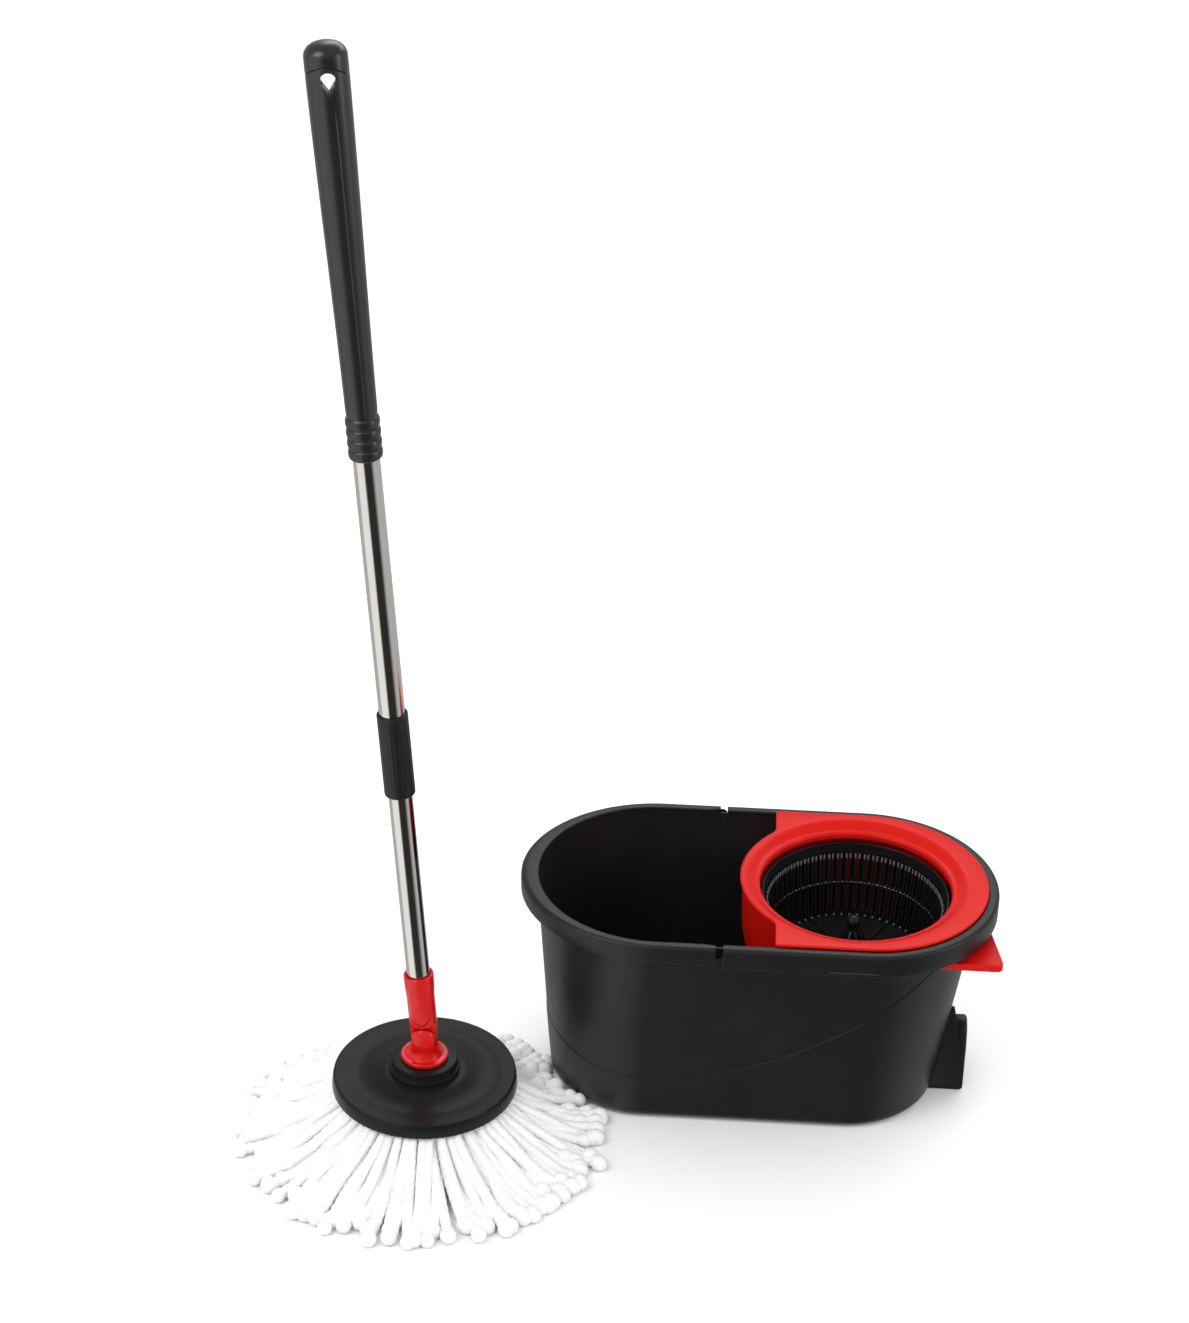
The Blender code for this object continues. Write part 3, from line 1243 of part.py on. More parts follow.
def ferrule(tilt):
    """Socket for the lower tube, with a tongue down between the swivel's ears."""
    profile = [
        (FERRULE_RADIUS - 0.0008, FERRULE_END),
        (FERRULE_RADIUS, FERRULE_END - 0.0008),
        (FERRULE_RADIUS, FERRULE_START + 0.0012),
        (FERRULE_RADIUS - 0.0012, FERRULE_START),
        (0.0, FERRULE_START),
    ]
    bore = LOWER_TUBE_RADIUS + GAP
    bore_low = LOWER_TUBE_START - GAP
    socket = [(0.0, bore_low), (bore, bore_low), (bore, FERRULE_END), *profile]
    piece = turned("ferrule", socket, "red", tilt)
    tongue = box(
        "tongue_block",
        (-TONGUE_RADIUS, -TONGUE_HALF, 0.0),
        (TONGUE_RADIUS, TONGUE_HALF, FERRULE_START + 0.004),
        parent=tilt,
    )
    eye = rod("tongue_eye", (0, -TONGUE_HALF, 0), (0, TONGUE_HALF, 0), TONGUE_RADIUS, parent=tilt, segments=24)
    join(piece, tongue, eye)
    pin_hole = rod("tongue_hole", (0, -0.02, 0), (0, 0.02, 0), TILT_PIN_RADIUS + GAP, parent=tilt)
    screw_z = FERRULE_SCREW_AT
    screw_hole = rod(
        "ferrule_screw_hole",
        (0.0, 0.004, screw_z),
        (0.0, 0.03, screw_z),
        SCREW_RADIUS + GAP,
        parent=tilt,
        segments=12,
    )
    cut(piece, pin_hole, screw_hole)
    out = FERRULE_RADIUS + GAP
    along = Matrix.Translation((0.0, 0.0, screw_z)) @ Matrix.Rotation(math.radians(-90), 4, "X")
    screw = [
        (0.0, out + 0.0014),
        (SCREW_HEAD_RADIUS * 0.7, out + 0.0012),
        (SCREW_HEAD_RADIUS, out + 0.0004),
        (SCREW_HEAD_RADIUS, out),
        (SCREW_RADIUS, out),
        (SCREW_RADIUS, out - 0.0070),
        (SCREW_RADIUS * 0.4, out - 0.0085),
        (0.0, out - 0.0085),
    ]
    turned("ferrule_screw", screw, "zinc", tilt, place=along, steps=16)
    tube = ring(
        "lower_tube",
        LOWER_TUBE_RADIUS - TUBE_WALL,
        LOWER_TUBE_RADIUS,
        LOWER_TUBE_START,
        LOWER_TUBE_END,
        "steel",
        tilt,
        steps=24,
    )
    cut(tube, screw_hole)
    plug = [
        (LOWER_TUBE_RADIUS - 0.0010, LOWER_TUBE_END + 0.0030),
        (LOWER_TUBE_RADIUS, LOWER_TUBE_END + 0.0022),
        (LOWER_TUBE_RADIUS, LOWER_TUBE_END + GAP),
        (LOWER_TUBE_RADIUS - TUBE_WALL - GAP, LOWER_TUBE_END + GAP),
        (LOWER_TUBE_RADIUS - TUBE_WALL - GAP, LOWER_TUBE_END - 0.0120),
        (LOWER_TUBE_RADIUS - 0.0040, LOWER_TUBE_END - 0.0120),
        (LOWER_TUBE_RADIUS - 0.0040, LOWER_TUBE_END + 0.0030),
    ]
    turned("lower_tube_plug", plug, "nylon", tilt, steps=24)
    return piece


def lock_parts(slide, twist):
    """Twist sleeve at the foot of the upper tube and the split collet inside it."""
    bore = UPPER_TUBE_RADIUS + 2 * GAP
    profile = [
        (SLEEVE_RADIUS - 0.0008, SLEEVE_END),
        (SLEEVE_RADIUS, SLEEVE_END - 0.0008),
        (SLEEVE_RADIUS, SLEEVE_START + 0.0008),
        (SLEEVE_RADIUS - 0.0008, SLEEVE_START),
        (LOWER_TUBE_RADIUS + 2 * GAP, SLEEVE_START),
        (LOWER_TUBE_RADIUS + 2 * GAP, SLEEVE_START + 0.0022),
        (bore, SLEEVE_START + 0.0022),
        (bore, SLEEVE_END),
    ]
    turned("lock_sleeve", profile, "satin_black", twist)
    low = SLEEVE_START + 0.0022 + GAP
    high = low + COLLET_LENGTH
    bore = LOWER_TUBE_RADIUS + GAP
    collet = ring("lock_collet", bore, UPPER_TUBE_RADIUS, low, high, "nylon", slide, steps=24)
    slot = box(
        "collet_slot",
        (-COLLET_SLOT / 2, 0.0, low - 0.001),
        (COLLET_SLOT / 2, 0.02, high + 0.001),
        parent=slide,
    )
    cut(collet, slot)


def grip_radius(distance):
    """Outer radius of the grip at a distance along the handle."""
    rings_end = GRIP_START + GRIP_RINGS * GRIP_RING_PITCH
    share = max(0.0, (distance - rings_end) / (GRIP_END - rings_end))
    eased = share * share * (3.0 - 2.0 * share)
    return GRIP_FOOT_RADIUS + (GRIP_HEAD_RADIUS - GRIP_FOOT_RADIUS) * (0.55 * eased + 0.45 * share)


def grip_outline():
    """Points of the grip's outer side from top to bottom: a tapered barrel and a stack of rounded rings."""
    rings_end = GRIP_START + GRIP_RINGS * GRIP_RING_PITCH
    points = []
    stations = 7
    for step in range(stations + 1):
        distance = GRIP_END + (rings_end - GRIP_END) * step / stations
        points.append((grip_radius(distance), distance))
    for number in range(GRIP_RINGS):
        top = rings_end - number * GRIP_RING_PITCH
        points.append((GRIP_FOOT_RADIUS, top - 0.0008))
        points.append((GRIP_RING_RADIUS, top - 0.0030))
        points.append((GRIP_RING_RADIUS, top - GRIP_RING_PITCH + 0.0025))
        points.append((GRIP_FOOT_RADIUS, top - GRIP_RING_PITCH + 0.0002))
    return points


def teardrop(radius, tip, segments=14):
    """A round hole with a pointed lower end."""
    touch = math.acos(radius / tip)
    points = []
    for step in range(segments + 1):
        angle = -math.pi / 2 + touch + (2.0 * math.pi - 2.0 * touch) * step / segments
        points.append((radius * math.cos(angle), radius * math.sin(angle)))
    points.append((0.0, -tip))
    return points


def upper_pole(slide):
    """Upper tube, grip and end cap, which slide together."""
    ring(
        "upper_tube",
        UPPER_TUBE_RADIUS - TUBE_WALL,
        UPPER_TUBE_RADIUS,
        UPPER_TUBE_START,
        UPPER_TUBE_END,
        "steel",
        slide,
        steps=24,
    )
    bore = UPPER_TUBE_RADIUS + GAP
    hollow_top = GRIP_END - GRIP_SOLID
    inside = [
        (bore, GRIP_START),
        (bore, UPPER_TUBE_END + GAP),
        (bore - 0.001, UPPER_TUBE_END + GAP),
        (grip_radius(hollow_top) - GRIP_WALL, hollow_top),
        (0.0, hollow_top),
    ]
    outside = [(0.0, GRIP_END)] + grip_outline()
    grip = turned("grip", outside + inside, "grip", slide, steps=24)
    hole_z = GRIP_END - HANG_HOLE_DROP
    stand = Matrix(((1, 0, 0, 0), (0, 0, -1, 0), (0, 1, 0, hole_z), (0, 0, 0, 1)))
    hole = plate("hang_hole", [teardrop(HANG_HOLE_RADIUS, HANG_HOLE_TIP)], 0.06, stand, parent=slide)
    cut(grip, hole)
    low = GRIP_END + GAP
    height = CAP_END - low
    radius = GRIP_HEAD_RADIUS - 0.0001
    profile = [(0.0, CAP_END)]
    steps = 7
    for step in range(1, steps + 1):
        angle = math.radians(90.0 * step / steps)
        level = low + 0.004 + (height - 0.004) * math.cos(angle) ** 0.8
        profile.append((radius * math.sin(angle) ** 0.75, level))
    profile.append((radius, low))
    profile.append((0.0, low))
    turned("grip_cap", profile, "grip", slide, steps=24)


def main():
    """Build the object."""
    clear_scene()
    bucket_shell()
    gearbox_cover()
    carry_handle()
    wringer_housing()
    fixed_bearings()
    spin = axis_point("basket_axis", (WRINGER_X, 0.0, BASKET_FLOOR_Z))
    basket(spin)
    basket_post(spin)
    pinion_line(axis_point("pinion_axis", SHAFT_AXIS))
    drive_line(axis_point("drive_axis", SHAFT_AXIS))
    pedal()
    return_spring()
    foot_housing()
    stand = axis_point("mop_stand", MOP)
    mop_disc(stand)
    hub_cap(stand)
    refill_ring(stand)
    fringe(stand)
    swivel = axis_point("head_spin_axis", (0.0, 0.0, 0.0), parent=stand)
    swivel_base(swivel)
    tilt = axis_point("pole_tilt_axis", (0.0, 0.0, TILT_PIN_Z), (0.0, -LEAN, 0.0), parent=swivel)
    ferrule(tilt)
    slide = axis_point("telescope_axis", (0.0, 0.0, 0.0), parent=tilt)
    twist = axis_point("lock_twist_axis", (0.0, 0.0, 0.0), parent=slide)
    lock_parts(slide, twist)
    upper_pole(slide)


main()
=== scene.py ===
"""Looks of a spin mop and its wringer bucket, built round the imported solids.

Metres, +Z up. The bucket's long axis is X with the wringer at +X, the front is -Y, and the mop
stands at -X, -Y.
"""

import json
import logging
import math
import random
from collections.abc import Callable, Sequence
from dataclasses import dataclass, field
from enum import Enum

import bmesh
import bpy
from mathutils import Matrix, Vector


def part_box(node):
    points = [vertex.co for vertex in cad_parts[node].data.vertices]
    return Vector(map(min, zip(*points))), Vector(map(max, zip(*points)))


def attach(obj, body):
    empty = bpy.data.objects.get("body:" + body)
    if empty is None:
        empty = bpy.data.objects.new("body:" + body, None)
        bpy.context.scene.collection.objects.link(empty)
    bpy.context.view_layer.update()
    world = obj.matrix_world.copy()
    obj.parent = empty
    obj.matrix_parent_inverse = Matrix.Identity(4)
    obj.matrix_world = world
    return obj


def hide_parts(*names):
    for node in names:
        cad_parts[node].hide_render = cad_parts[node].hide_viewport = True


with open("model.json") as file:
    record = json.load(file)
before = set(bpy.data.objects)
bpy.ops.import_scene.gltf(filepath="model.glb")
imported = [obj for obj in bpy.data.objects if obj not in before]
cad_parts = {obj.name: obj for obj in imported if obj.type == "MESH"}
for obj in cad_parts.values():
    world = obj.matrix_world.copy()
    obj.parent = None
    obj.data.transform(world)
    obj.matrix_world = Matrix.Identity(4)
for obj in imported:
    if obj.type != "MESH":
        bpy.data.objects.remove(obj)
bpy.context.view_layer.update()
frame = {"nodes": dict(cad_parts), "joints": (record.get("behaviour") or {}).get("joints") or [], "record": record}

log = logging.getLogger("spin_mop")
Outline = list[tuple[float, float]]
GAP = 0.0003  # between pieces that don't touch
NOT_FROM_AXIS = 1e-9  # a smaller radius lies on the axis of a turned form
ALONG_Y = Matrix(((1, 0, 0, 0), (0, 0, 1, 0), (0, 1, 0, 0), (0, 0, 0, 1)))  # an outline in XZ, drawn along Y
ALONG_X = Matrix(((0, 0, 1, 0), (1, 0, 0, 0), (0, 1, 0, 0), (0, 0, 0, 1)))  # an outline in YZ, drawn along X


class Body(Enum):
    """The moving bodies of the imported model."""

    BUCKET = "bucket"
    HANDLE = "handle"
    BASKET = "basket"
    PEDAL = "pedal"
    HEAD = "mop_head"
    SWIVEL = "swivel"
    LOWER_POLE = "lower_pole"
    UPPER_POLE = "upper_pole"
    LOCK_SLEEVE = "lock_sleeve"


# Shader building -------------------------------------------------------------------------------------
class Signal:
    """A shader socket that Python's arithmetic adds Math nodes to."""

    def __init__(self, bench: "NodeBench", socket: bpy.types.NodeSocket) -> None:
        """Keep the bench and the socket that carries the value."""
        self.bench = bench
        self.socket = socket

    def _math(self, operation: str, *values: "Signal | float", clamp: bool = False) -> "Signal":
        """Add one Math node.

        Args:
            operation: the Math node's operation.
            values: its inputs, in order.
            clamp: whether the result is held between 0 and 1.

        Returns:
            The node's result.
        """
        settings = {"operation": operation, "use_clamp": clamp}
        return self.bench.node("ShaderNodeMath", settings, dict(enumerate(values)))

    def __add__(self, other: "Signal | float") -> "Signal":
        """Return the sum."""
        return self._math("ADD", self, other)

    __radd__ = __add__

    def __sub__(self, other: "Signal | float") -> "Signal":
        """Return this value less another."""
        return self._math("SUBTRACT", self, other)

    def __rsub__(self, other: "Signal | float") -> "Signal":
        """Return another value less this one."""
        return self._math("SUBTRACT", other, self)

    def __mul__(self, other: "Signal | float") -> "Signal":
        """Return the product."""
        return self._math("MULTIPLY", self, other)

    __rmul__ = __mul__

    def __pow__(self, other: "Signal | float") -> "Signal":
        """Return this value to a power."""
        return self._math("POWER", self, other)

    def held(self) -> "Signal":
        """Return this value held between 0 and 1."""
        return self._math("ADD", self, 0.0, clamp=True)


class NodeBench:
    """Adds nodes to one node tree."""

    def __init__(self, tree: bpy.types.NodeTree) -> None:
        """Keep the tree."""
        self.tree = tree

    def node(
        self,
        kind: str,
        settings: dict[str, object] | None = None,
        inputs: dict[str | int, object] | None = None,
        output: str | int = 0,
    ) -> Signal:
        """Add a node: its settings first, then its sockets.

        Args:
            kind: the node's type.
            settings: properties by name; "stops" holds a colour ramp's (position, grey) pairs.
            inputs: values or signals by socket name or number.
            output: the output socket that is wanted.

        Returns:
            The wanted output.
        """
        node = self.tree.nodes.new(kind)
        for name, value in (settings or {}).items():
            if name == "stops":
                ramp = node.color_ramp.elements
                for element, (position, grey) in zip(ramp, value):
                    element.position = position
                    element.color = (grey, grey, grey, 1.0)
            else:
                setattr(node, name, value)
        for name, value in (inputs or {}).items():
            self.feed(node.inputs[name], value)
        return Signal(self, node.outputs[output])

    def feed(self, socket: bpy.types.NodeSocket, value: object) -> None:
        """Link a signal to a socket, or set the socket's own value."""
        if isinstance(value, Signal):
            self.tree.links.new(value.socket, socket)
        else:
            socket.default_value = value

    def mix(self, share: "Signal | float", low: Sequence[float], high: Sequence[float]) -> Signal:
        """Return a colour between two, by share."""
        inputs = {0: share, 6: (*low, 1.0), 7: (*high, 1.0)}
        return self.node("ShaderNodeMix", {"data_type": "RGBA"}, inputs, 2)


class Paint(NodeBench):
    """A Principled material under construction."""

    def __init__(self, name: str) -> None:
        """Start a material with a Principled shader and its output."""
        self.material = bpy.data.materials.new(name)
        self.material.use_nodes = True
        super().__init__(self.material.node_tree)
        self.shader = self.tree.nodes["Principled BSDF"]

    def place(self, stretch: tuple[float, float, float] = (1.0, 1.0, 1.0)) -> Signal:
        """Return the object's own coordinates, stretched along its axes."""
        where = self.node("ShaderNodeTexCoord", output="Object")
        settings = {"operation": "MULTIPLY"}
        return self.node("ShaderNodeVectorMath", settings, {0: where, 1: stretch})

    def noise(self, scale: float, detail: float = 2.0, where: Signal | None = None) -> Signal:
        """Return a noise value from 0 to 1.

        Args:
            scale: features per metre.
            detail: octaves of detail.
            where: coordinates, the object's own ones if left out.

        Returns:
            The noise.
        """
        inputs = {"Vector": where or self.place(), "Scale": scale, "Detail": detail}
        return self.node("ShaderNodeTexNoise", None, inputs)

    def bump(self, height: Signal, depth: float, normal: Signal | None = None) -> Signal:
        """Return a normal bent by a height.

        Args:
            height: a value from 0 to 1.
            depth: the height in metres that 1 stands for.
            normal: a normal to start from.

        Returns:
            The bent normal.
        """
        inputs = {"Height": height, "Distance": depth, "Strength": 1.0}
        if normal is not None:
            inputs["Normal"] = normal
        return self.node("ShaderNodeBump", None, inputs)

    def shade(self, **inputs: object) -> bpy.types.Material:
        """Set the shader's sockets, named with _ for a space, and return the material."""
        for name, value in inputs.items():
            self.feed(self.shader.inputs[name.replace("_", " ")], value)
        return self.material


Colour = tuple[float, float, float]


@dataclass(frozen=True)
class MouldedPlastic:
    """A moulded plastic with a fine grain, faint handling marks and paler worn edges."""

    name: str
    colour: Colour
    worn: Colour
    roughness: float
    grain_scale: float = 2600.0
    grain_depth: float = 0.00003
    smudge: float = 0.10
    coat: float = 0.0
    specular: float = 0.5
    cloud_scale: float = 14.0
    wear_scale: float = 160.0
    wear_from: float = 0.53
    wear_gain: float = 9.0
    scratch_scale: float = 90.0
    coat_roughness: float = 0.12

    def material(self) -> bpy.types.Material:
        """Build the material."""
        paint = Paint(self.name)
        cloud = paint.noise(self.cloud_scale, 4.0)
        edge = paint.node("ShaderNodeNewGeometry", output="Pointiness")
        wear = ((edge - self.wear_from) * self.wear_gain).held() * paint.noise(self.wear_scale, 3.0)
        scratches = paint.noise(self.scratch_scale, 5.0, paint.place((1.0, 1.0, 0.12)))
        rough = self.roughness + (cloud - 0.5) * self.smudge + (scratches - 0.5) * self.smudge * 0.6
        lively = (cloud * 0.35 + wear).held()
        grain = paint.noise(self.grain_scale, 2.0)
        normal = paint.bump(grain, self.grain_depth)
        return paint.shade(
            Base_Color=paint.mix(lively, self.colour, self.worn),
            Roughness=rough.held(),
            Normal=normal,
            Specular_IOR_Level=self.specular,
            Coat_Weight=self.coat,
            Coat_Roughness=self.coat_roughness,
        )


@dataclass(frozen=True)
class DrawnMetal:
    """A metal with fine marks drawn along one axis."""

    name: str
    colour: Colour
    dull: Colour
    roughness: float
    stretch: tuple[float, float, float] = (1.0, 1.0, 0.02)
    line_depth: float = 0.000004
    line_scale: float = 1400.0
    cloud_scale: float = 22.0

    def material(self) -> bpy.types.Material:
        """Build the material."""
        paint = Paint(self.name)
        lines = paint.noise(self.line_scale, 3.0, paint.place(self.stretch))
        cloud = paint.noise(self.cloud_scale, 4.0)
        rough = self.roughness + (lines - 0.5) * 0.10 + (cloud - 0.5) * 0.08
        return paint.shade(
            Base_Color=paint.mix((cloud * 0.5 + lines * 0.3).held(), self.colour, self.dull),
            Metallic=1.0,
            Roughness=rough.held(),
            Normal=paint.bump(lines, self.line_depth),
        )


@dataclass(frozen=True)
class Chenille:
    """Looped microfibre: a white pile with small tufts, and painted shade darkening the hollows between them."""

    name: str
    colour: Colour = (0.86, 0.857, 0.85)
    # darker colour painted into the pile's hollows: painted shade
    painted_hollow_shade: Colour = (0.78, 0.775, 0.76)
    pile_scale: float = 700.0
    pile_depth: float = 0.00025

    def material(self) -> bpy.types.Material:
        """Build the material."""
        paint = Paint(self.name)
        pile = paint.noise(self.pile_scale, 3.0)
        cells = {"Vector": paint.place(), "Scale": self.pile_scale * 0.55}
        loops = paint.node("ShaderNodeTexVoronoi", {"feature": "F1"}, cells, "Distance")
        tufts = (pile * 0.6 + (1.0 - loops) * 0.5).held()
        # painted shade: the low parts of the pile's bump are mixed towards the darker hollow colour
        hollow_shading = ((tufts - 0.30) * 2.2).held()
        return paint.shade(
            Base_Color=paint.mix(hollow_shading, self.painted_hollow_shade, self.colour),
            Roughness=0.95,
            Normal=paint.bump(tufts, self.pile_depth),
            Specular_IOR_Level=0.05,
        )


@dataclass(frozen=True)
class Floor:
    """A plain pale floor."""

    name: str = "pale_floor"
    colour: Colour = (0.90, 0.90, 0.90)

    def material(self) -> bpy.types.Material:
        """Build the material."""
        return Paint(self.name).shade(
            Base_Color=(*self.colour, 1.0), Roughness=0.9, Specular_IOR_Level=0.0
        )


class Finishes:
    """The object's finishes, one material for each of the record's slots."""

    def __init__(self) -> None:
        """Build every material once."""
        recipes = {
            "bucket_black": MouldedPlastic(
                "charcoal_polypropylene", (0.0055, 0.0057, 0.0059), (0.020, 0.020, 0.021), 0.40,
                specular=0.38,
            ),
            "wringer_red": MouldedPlastic(
                "signal_red_plastic", (0.52, 0.005, 0.003), (0.58, 0.012, 0.008), 0.30, grain_depth=0.00001,
                specular=0.13,
            ),
            "basket_black": MouldedPlastic(
                "basket_plastic", (0.004, 0.004, 0.0045), (0.014, 0.014, 0.015), 0.38, specular=0.28
            ),
            "nylon": MouldedPlastic("natural_nylon", (0.70, 0.69, 0.64), (0.80, 0.79, 0.75), 0.45),
            "rubber_seal": MouldedPlastic(
                "seal_rubber", (0.018, 0.018, 0.018), (0.04, 0.04, 0.04), 0.75
            ),
            "zinc_steel": DrawnMetal("zinc_plate", (0.58, 0.58, 0.57), (0.45, 0.45, 0.44), 0.34),
            "disc_black": MouldedPlastic(
                "disc_plastic", (0.0055, 0.0055, 0.006), (0.020, 0.020, 0.021), 0.36, coat=0.02, specular=0.15
            ),
            "microfibre": Chenille("white_chenille"),
            "ferrule_red": MouldedPlastic(
                "gloss_red_plastic", (0.52, 0.003, 0.003), (0.60, 0.010, 0.008), 0.24, coat=0.20,
                grain_depth=0.000005, specular=0.28,
            ),
            "pole_steel": DrawnMetal(
                "stainless_tube", (0.78, 0.755, 0.715), (0.66, 0.64, 0.60), 0.13
            ),
            "grip_black": MouldedPlastic(
                "grip_plastic", (0.010, 0.010, 0.0105), (0.022, 0.022, 0.023), 0.30, grain_depth=0.00001,
                smudge=0.05, specular=0.6,
            ),
            "sleeve_black": MouldedPlastic(
                "sleeve_plastic", (0.007, 0.007, 0.0075), (0.022, 0.022, 0.022), 0.42, specular=0.32
            ),
            # lighter grey for the basket's rib heads and the thin inner hoop at its middle
            "grey_rib_heads": MouldedPlastic(
                "rib_head_plastic", (0.10, 0.10, 0.102), (0.20, 0.20, 0.205), 0.35
            ),
            # near-black, matte, low-specular finish for the handle's pivot lugs: painted shadow of the slot they
            # sit in
            "pivot_painted_shadow": MouldedPlastic(
                "pivot_plastic", (0.0015, 0.0015, 0.0015), (0.004, 0.004, 0.004), 0.80, specular=0.06
            ),
        }
        self.made = {slot: recipe.material() for slot, recipe in recipes.items()}

    def of(self, slot: str) -> bpy.types.Material:
        """Return a slot's material."""
        return self.made[slot]


# Mesh building ---------------------------------------------------------------------------------------
def arc(centre: tuple[float, float], radius: float, start: float, end: float, steps: int) -> Outline:
    """Points along an arc.

    Args:
        centre: its centre.
        radius: its radius.
        start: first angle in degrees.
        end: last angle in degrees.
        steps: number of segments.

    Returns:
        The points, both ends included.
    """
    points = []
    for step in range(steps + 1):
        angle = math.radians(start + (end - start) * step / steps)
        points.append((centre[0] + radius * math.cos(angle), centre[1] + radius * math.sin(angle)))
    return points


def eased(value: float) -> float:
    """Return a share from 0 to 1 with a soft start and end."""
    held = min(1.0, max(0.0, value))
    return held * held * (3.0 - 2.0 * held)


def blend_max(first: float, second: float, width: float) -> float:
    """Return the larger of two lengths, rounded where they are within width of each other."""
    share = max(width - abs(first - second), 0.0) / width
    return max(first, second) + share * share * width * 0.25


class Shape:
    """A mesh under construction, from one or more closed forms."""

    def __init__(self) -> None:
        """Start with no faces."""
        self.bm = bmesh.new()

    def skin(
        self,
        rings: Sequence[Sequence[Vector]],
        looped: bool = False,
        open_rings: bool = False,
    ) -> "Shape":
        """Skin rings of equal length.

        Args:
            rings: the rings, each a list of points.
            looped: join the last ring to the first; otherwise both are capped.
            open_rings: rings are open paths, and the stretch between their ends is capped.

        Returns:
            This shape.
        """
        rows = [[self.bm.verts.new(point) for point in ring] for ring in rings]
        count = len(rows[0])
        pairs = list(zip(rows, rows[1:]))
        if looped:
            pairs.append((rows[-1], rows[0]))
        for lower, upper in pairs:
            for i in range(count - 1 if open_rings else count):
                j = (i + 1) % count
                self.bm.faces.new((lower[i], lower[j], upper[j], upper[i]))
        if open_rings:
            self.bm.faces.new([row[0] for row in rows])
            self.bm.faces.new([row[-1] for row in reversed(rows)])
        elif not looped:
            self.bm.faces.new(list(reversed(rows[0])))
            self.bm.faces.new(rows[-1])
        return self

    def turned(
        self,
        profile: Outline,
        steps: int = 96,
        place: Matrix | None = None,
        warp: Callable[[float, float, float], tuple[float, float]] | None = None,
    ) -> "Shape":
        """Turn a profile about the local Z axis.

        Args:
            profile: (radius, height) points; an end at radius 0 closes the form there, and a
                profile with neither end on the axis is joined back to its start.
            steps: columns round the turn.
            place: where the local frame stands.
            warp: changes a point's radius and height from its angle, radius and height.

        Returns:
            This shape.
        """
        place = place or Matrix.Identity(4)
        rows = []
        for radius, height in profile:
            if radius <= NOT_FROM_AXIS:
                rows.append([self.bm.verts.new(place @ Vector((0.0, 0.0, height)))])
                continue
            row = []
            for step in range(steps):
                angle = 2.0 * math.pi * step / steps
                r, h = warp(angle, radius, height) if warp else (radius, height)
                row.append(self.bm.verts.new(place @ Vector((r * math.cos(angle), r * math.sin(angle), h))))
            rows.append(row)
        pairs = list(zip(rows, rows[1:]))
        if profile[0][0] > NOT_FROM_AXIS and profile[-1][0] > NOT_FROM_AXIS:
            pairs.append((rows[-1], rows[0]))
        for lower, upper in pairs:
            for i in range(steps):
                j = (i + 1) % steps
                if len(lower) == 1 and len(upper) == 1:
                    break
                if len(lower) == 1:
                    self.bm.faces.new((lower[0], upper[j], upper[i]))
                elif len(upper) == 1:
                    self.bm.faces.new((lower[i], lower[j], upper[0]))
                else:
                    self.bm.faces.new((lower[i], lower[j], upper[j], upper[i]))
        return self

    def block(self, low: Sequence[float], high: Sequence[float], place: Matrix | None = None) -> "Shape":
        """Add a box between two corners and return this shape."""
        low, high = Vector(low), Vector(high)
        size = Matrix.Diagonal((*(high - low), 1.0))
        stand = (place or Matrix.Identity(4)) @ Matrix.Translation((low + high) / 2) @ size
        bmesh.ops.create_cube(self.bm, size=1.0, matrix=stand)
        return self

    def prism(
        self, outline: Outline, low: float, high: float, place: Matrix | None = None
    ) -> "Shape":
        """Extrude an outline between two local heights and return this shape."""
        place = place or Matrix.Identity(4)
        return self.skin([[place @ Vector((x, y, z)) for x, y in outline] for z in (low, high)])

    def rod(self, start: Sequence[float], end: Sequence[float], radius: float, steps: int = 32) -> "Shape":
        """Add a cylinder between two points and return this shape."""
        start, end = Vector(start), Vector(end)
        turn = (end - start).to_track_quat("Z", "Y").to_matrix().to_4x4()
        length = (end - start).length
        profile = [(0.0, length), (radius, length), (radius, 0.0), (0.0, 0.0)]
        return self.turned(profile, steps, Matrix.Translation(start) @ turn)

    def piece(self, name: str, crease: float = 35.0) -> bpy.types.Object:
        """Finish the mesh.

        Args:
            name: the piece's name.
            crease: edges sharper than this angle, in degrees, stay crisp.

        Returns:
            The object.
        """
        bmesh.ops.recalc_face_normals(self.bm, faces=self.bm.faces)
        mesh = bpy.data.meshes.new(name)
        self.bm.to_mesh(mesh)
        self.bm.free()
        mesh.shade_smooth()
        mesh.set_sharp_from_angle(angle=math.radians(crease))
        obj = bpy.data.objects.new(name, mesh)
        bpy.context.scene.collection.objects.link(obj)
        return obj


def bevelled(
    piece: bpy.types.Object, width: float, segments: int = 3, angle: float = 40.0
) -> bpy.types.Object:
    """Round a piece's sharp edges and return it."""
    modifier = piece.modifiers.new("rounded_edges", "BEVEL")
    modifier.width = width
    modifier.segments = segments
    modifier.limit_method = "ANGLE"
    modifier.angle_limit = math.radians(angle)
    modifier.harden_normals = False
    return piece


def carved(piece: bpy.types.Object, cutter: Shape, overlapping: bool = False) -> bpy.types.Object:
    """Cut a shape from a piece and make the result its mesh.

    Args:
        piece: the piece to carve.
        cutter: the shape that carves it.
        overlapping: whether the cutter's forms, or the piece's, run into each other.

    Returns:
        The piece.
    """
    tool = cutter.piece(piece.name + "_cutter")
    modifier = piece.modifiers.new("carve", "BOOLEAN")
    modifier.operation = "DIFFERENCE"
    modifier.object = tool
    modifier.solver = "EXACT"
    modifier.use_self = overlapping
    bpy.context.view_layer.update()
    shape = piece.evaluated_get(bpy.context.evaluated_depsgraph_get())
    mesh = bpy.data.meshes.new_from_object(shape)
    piece.modifiers.clear()
    piece.data = mesh
    bpy.data.objects.remove(tool, do_unlink=True)
    return piece


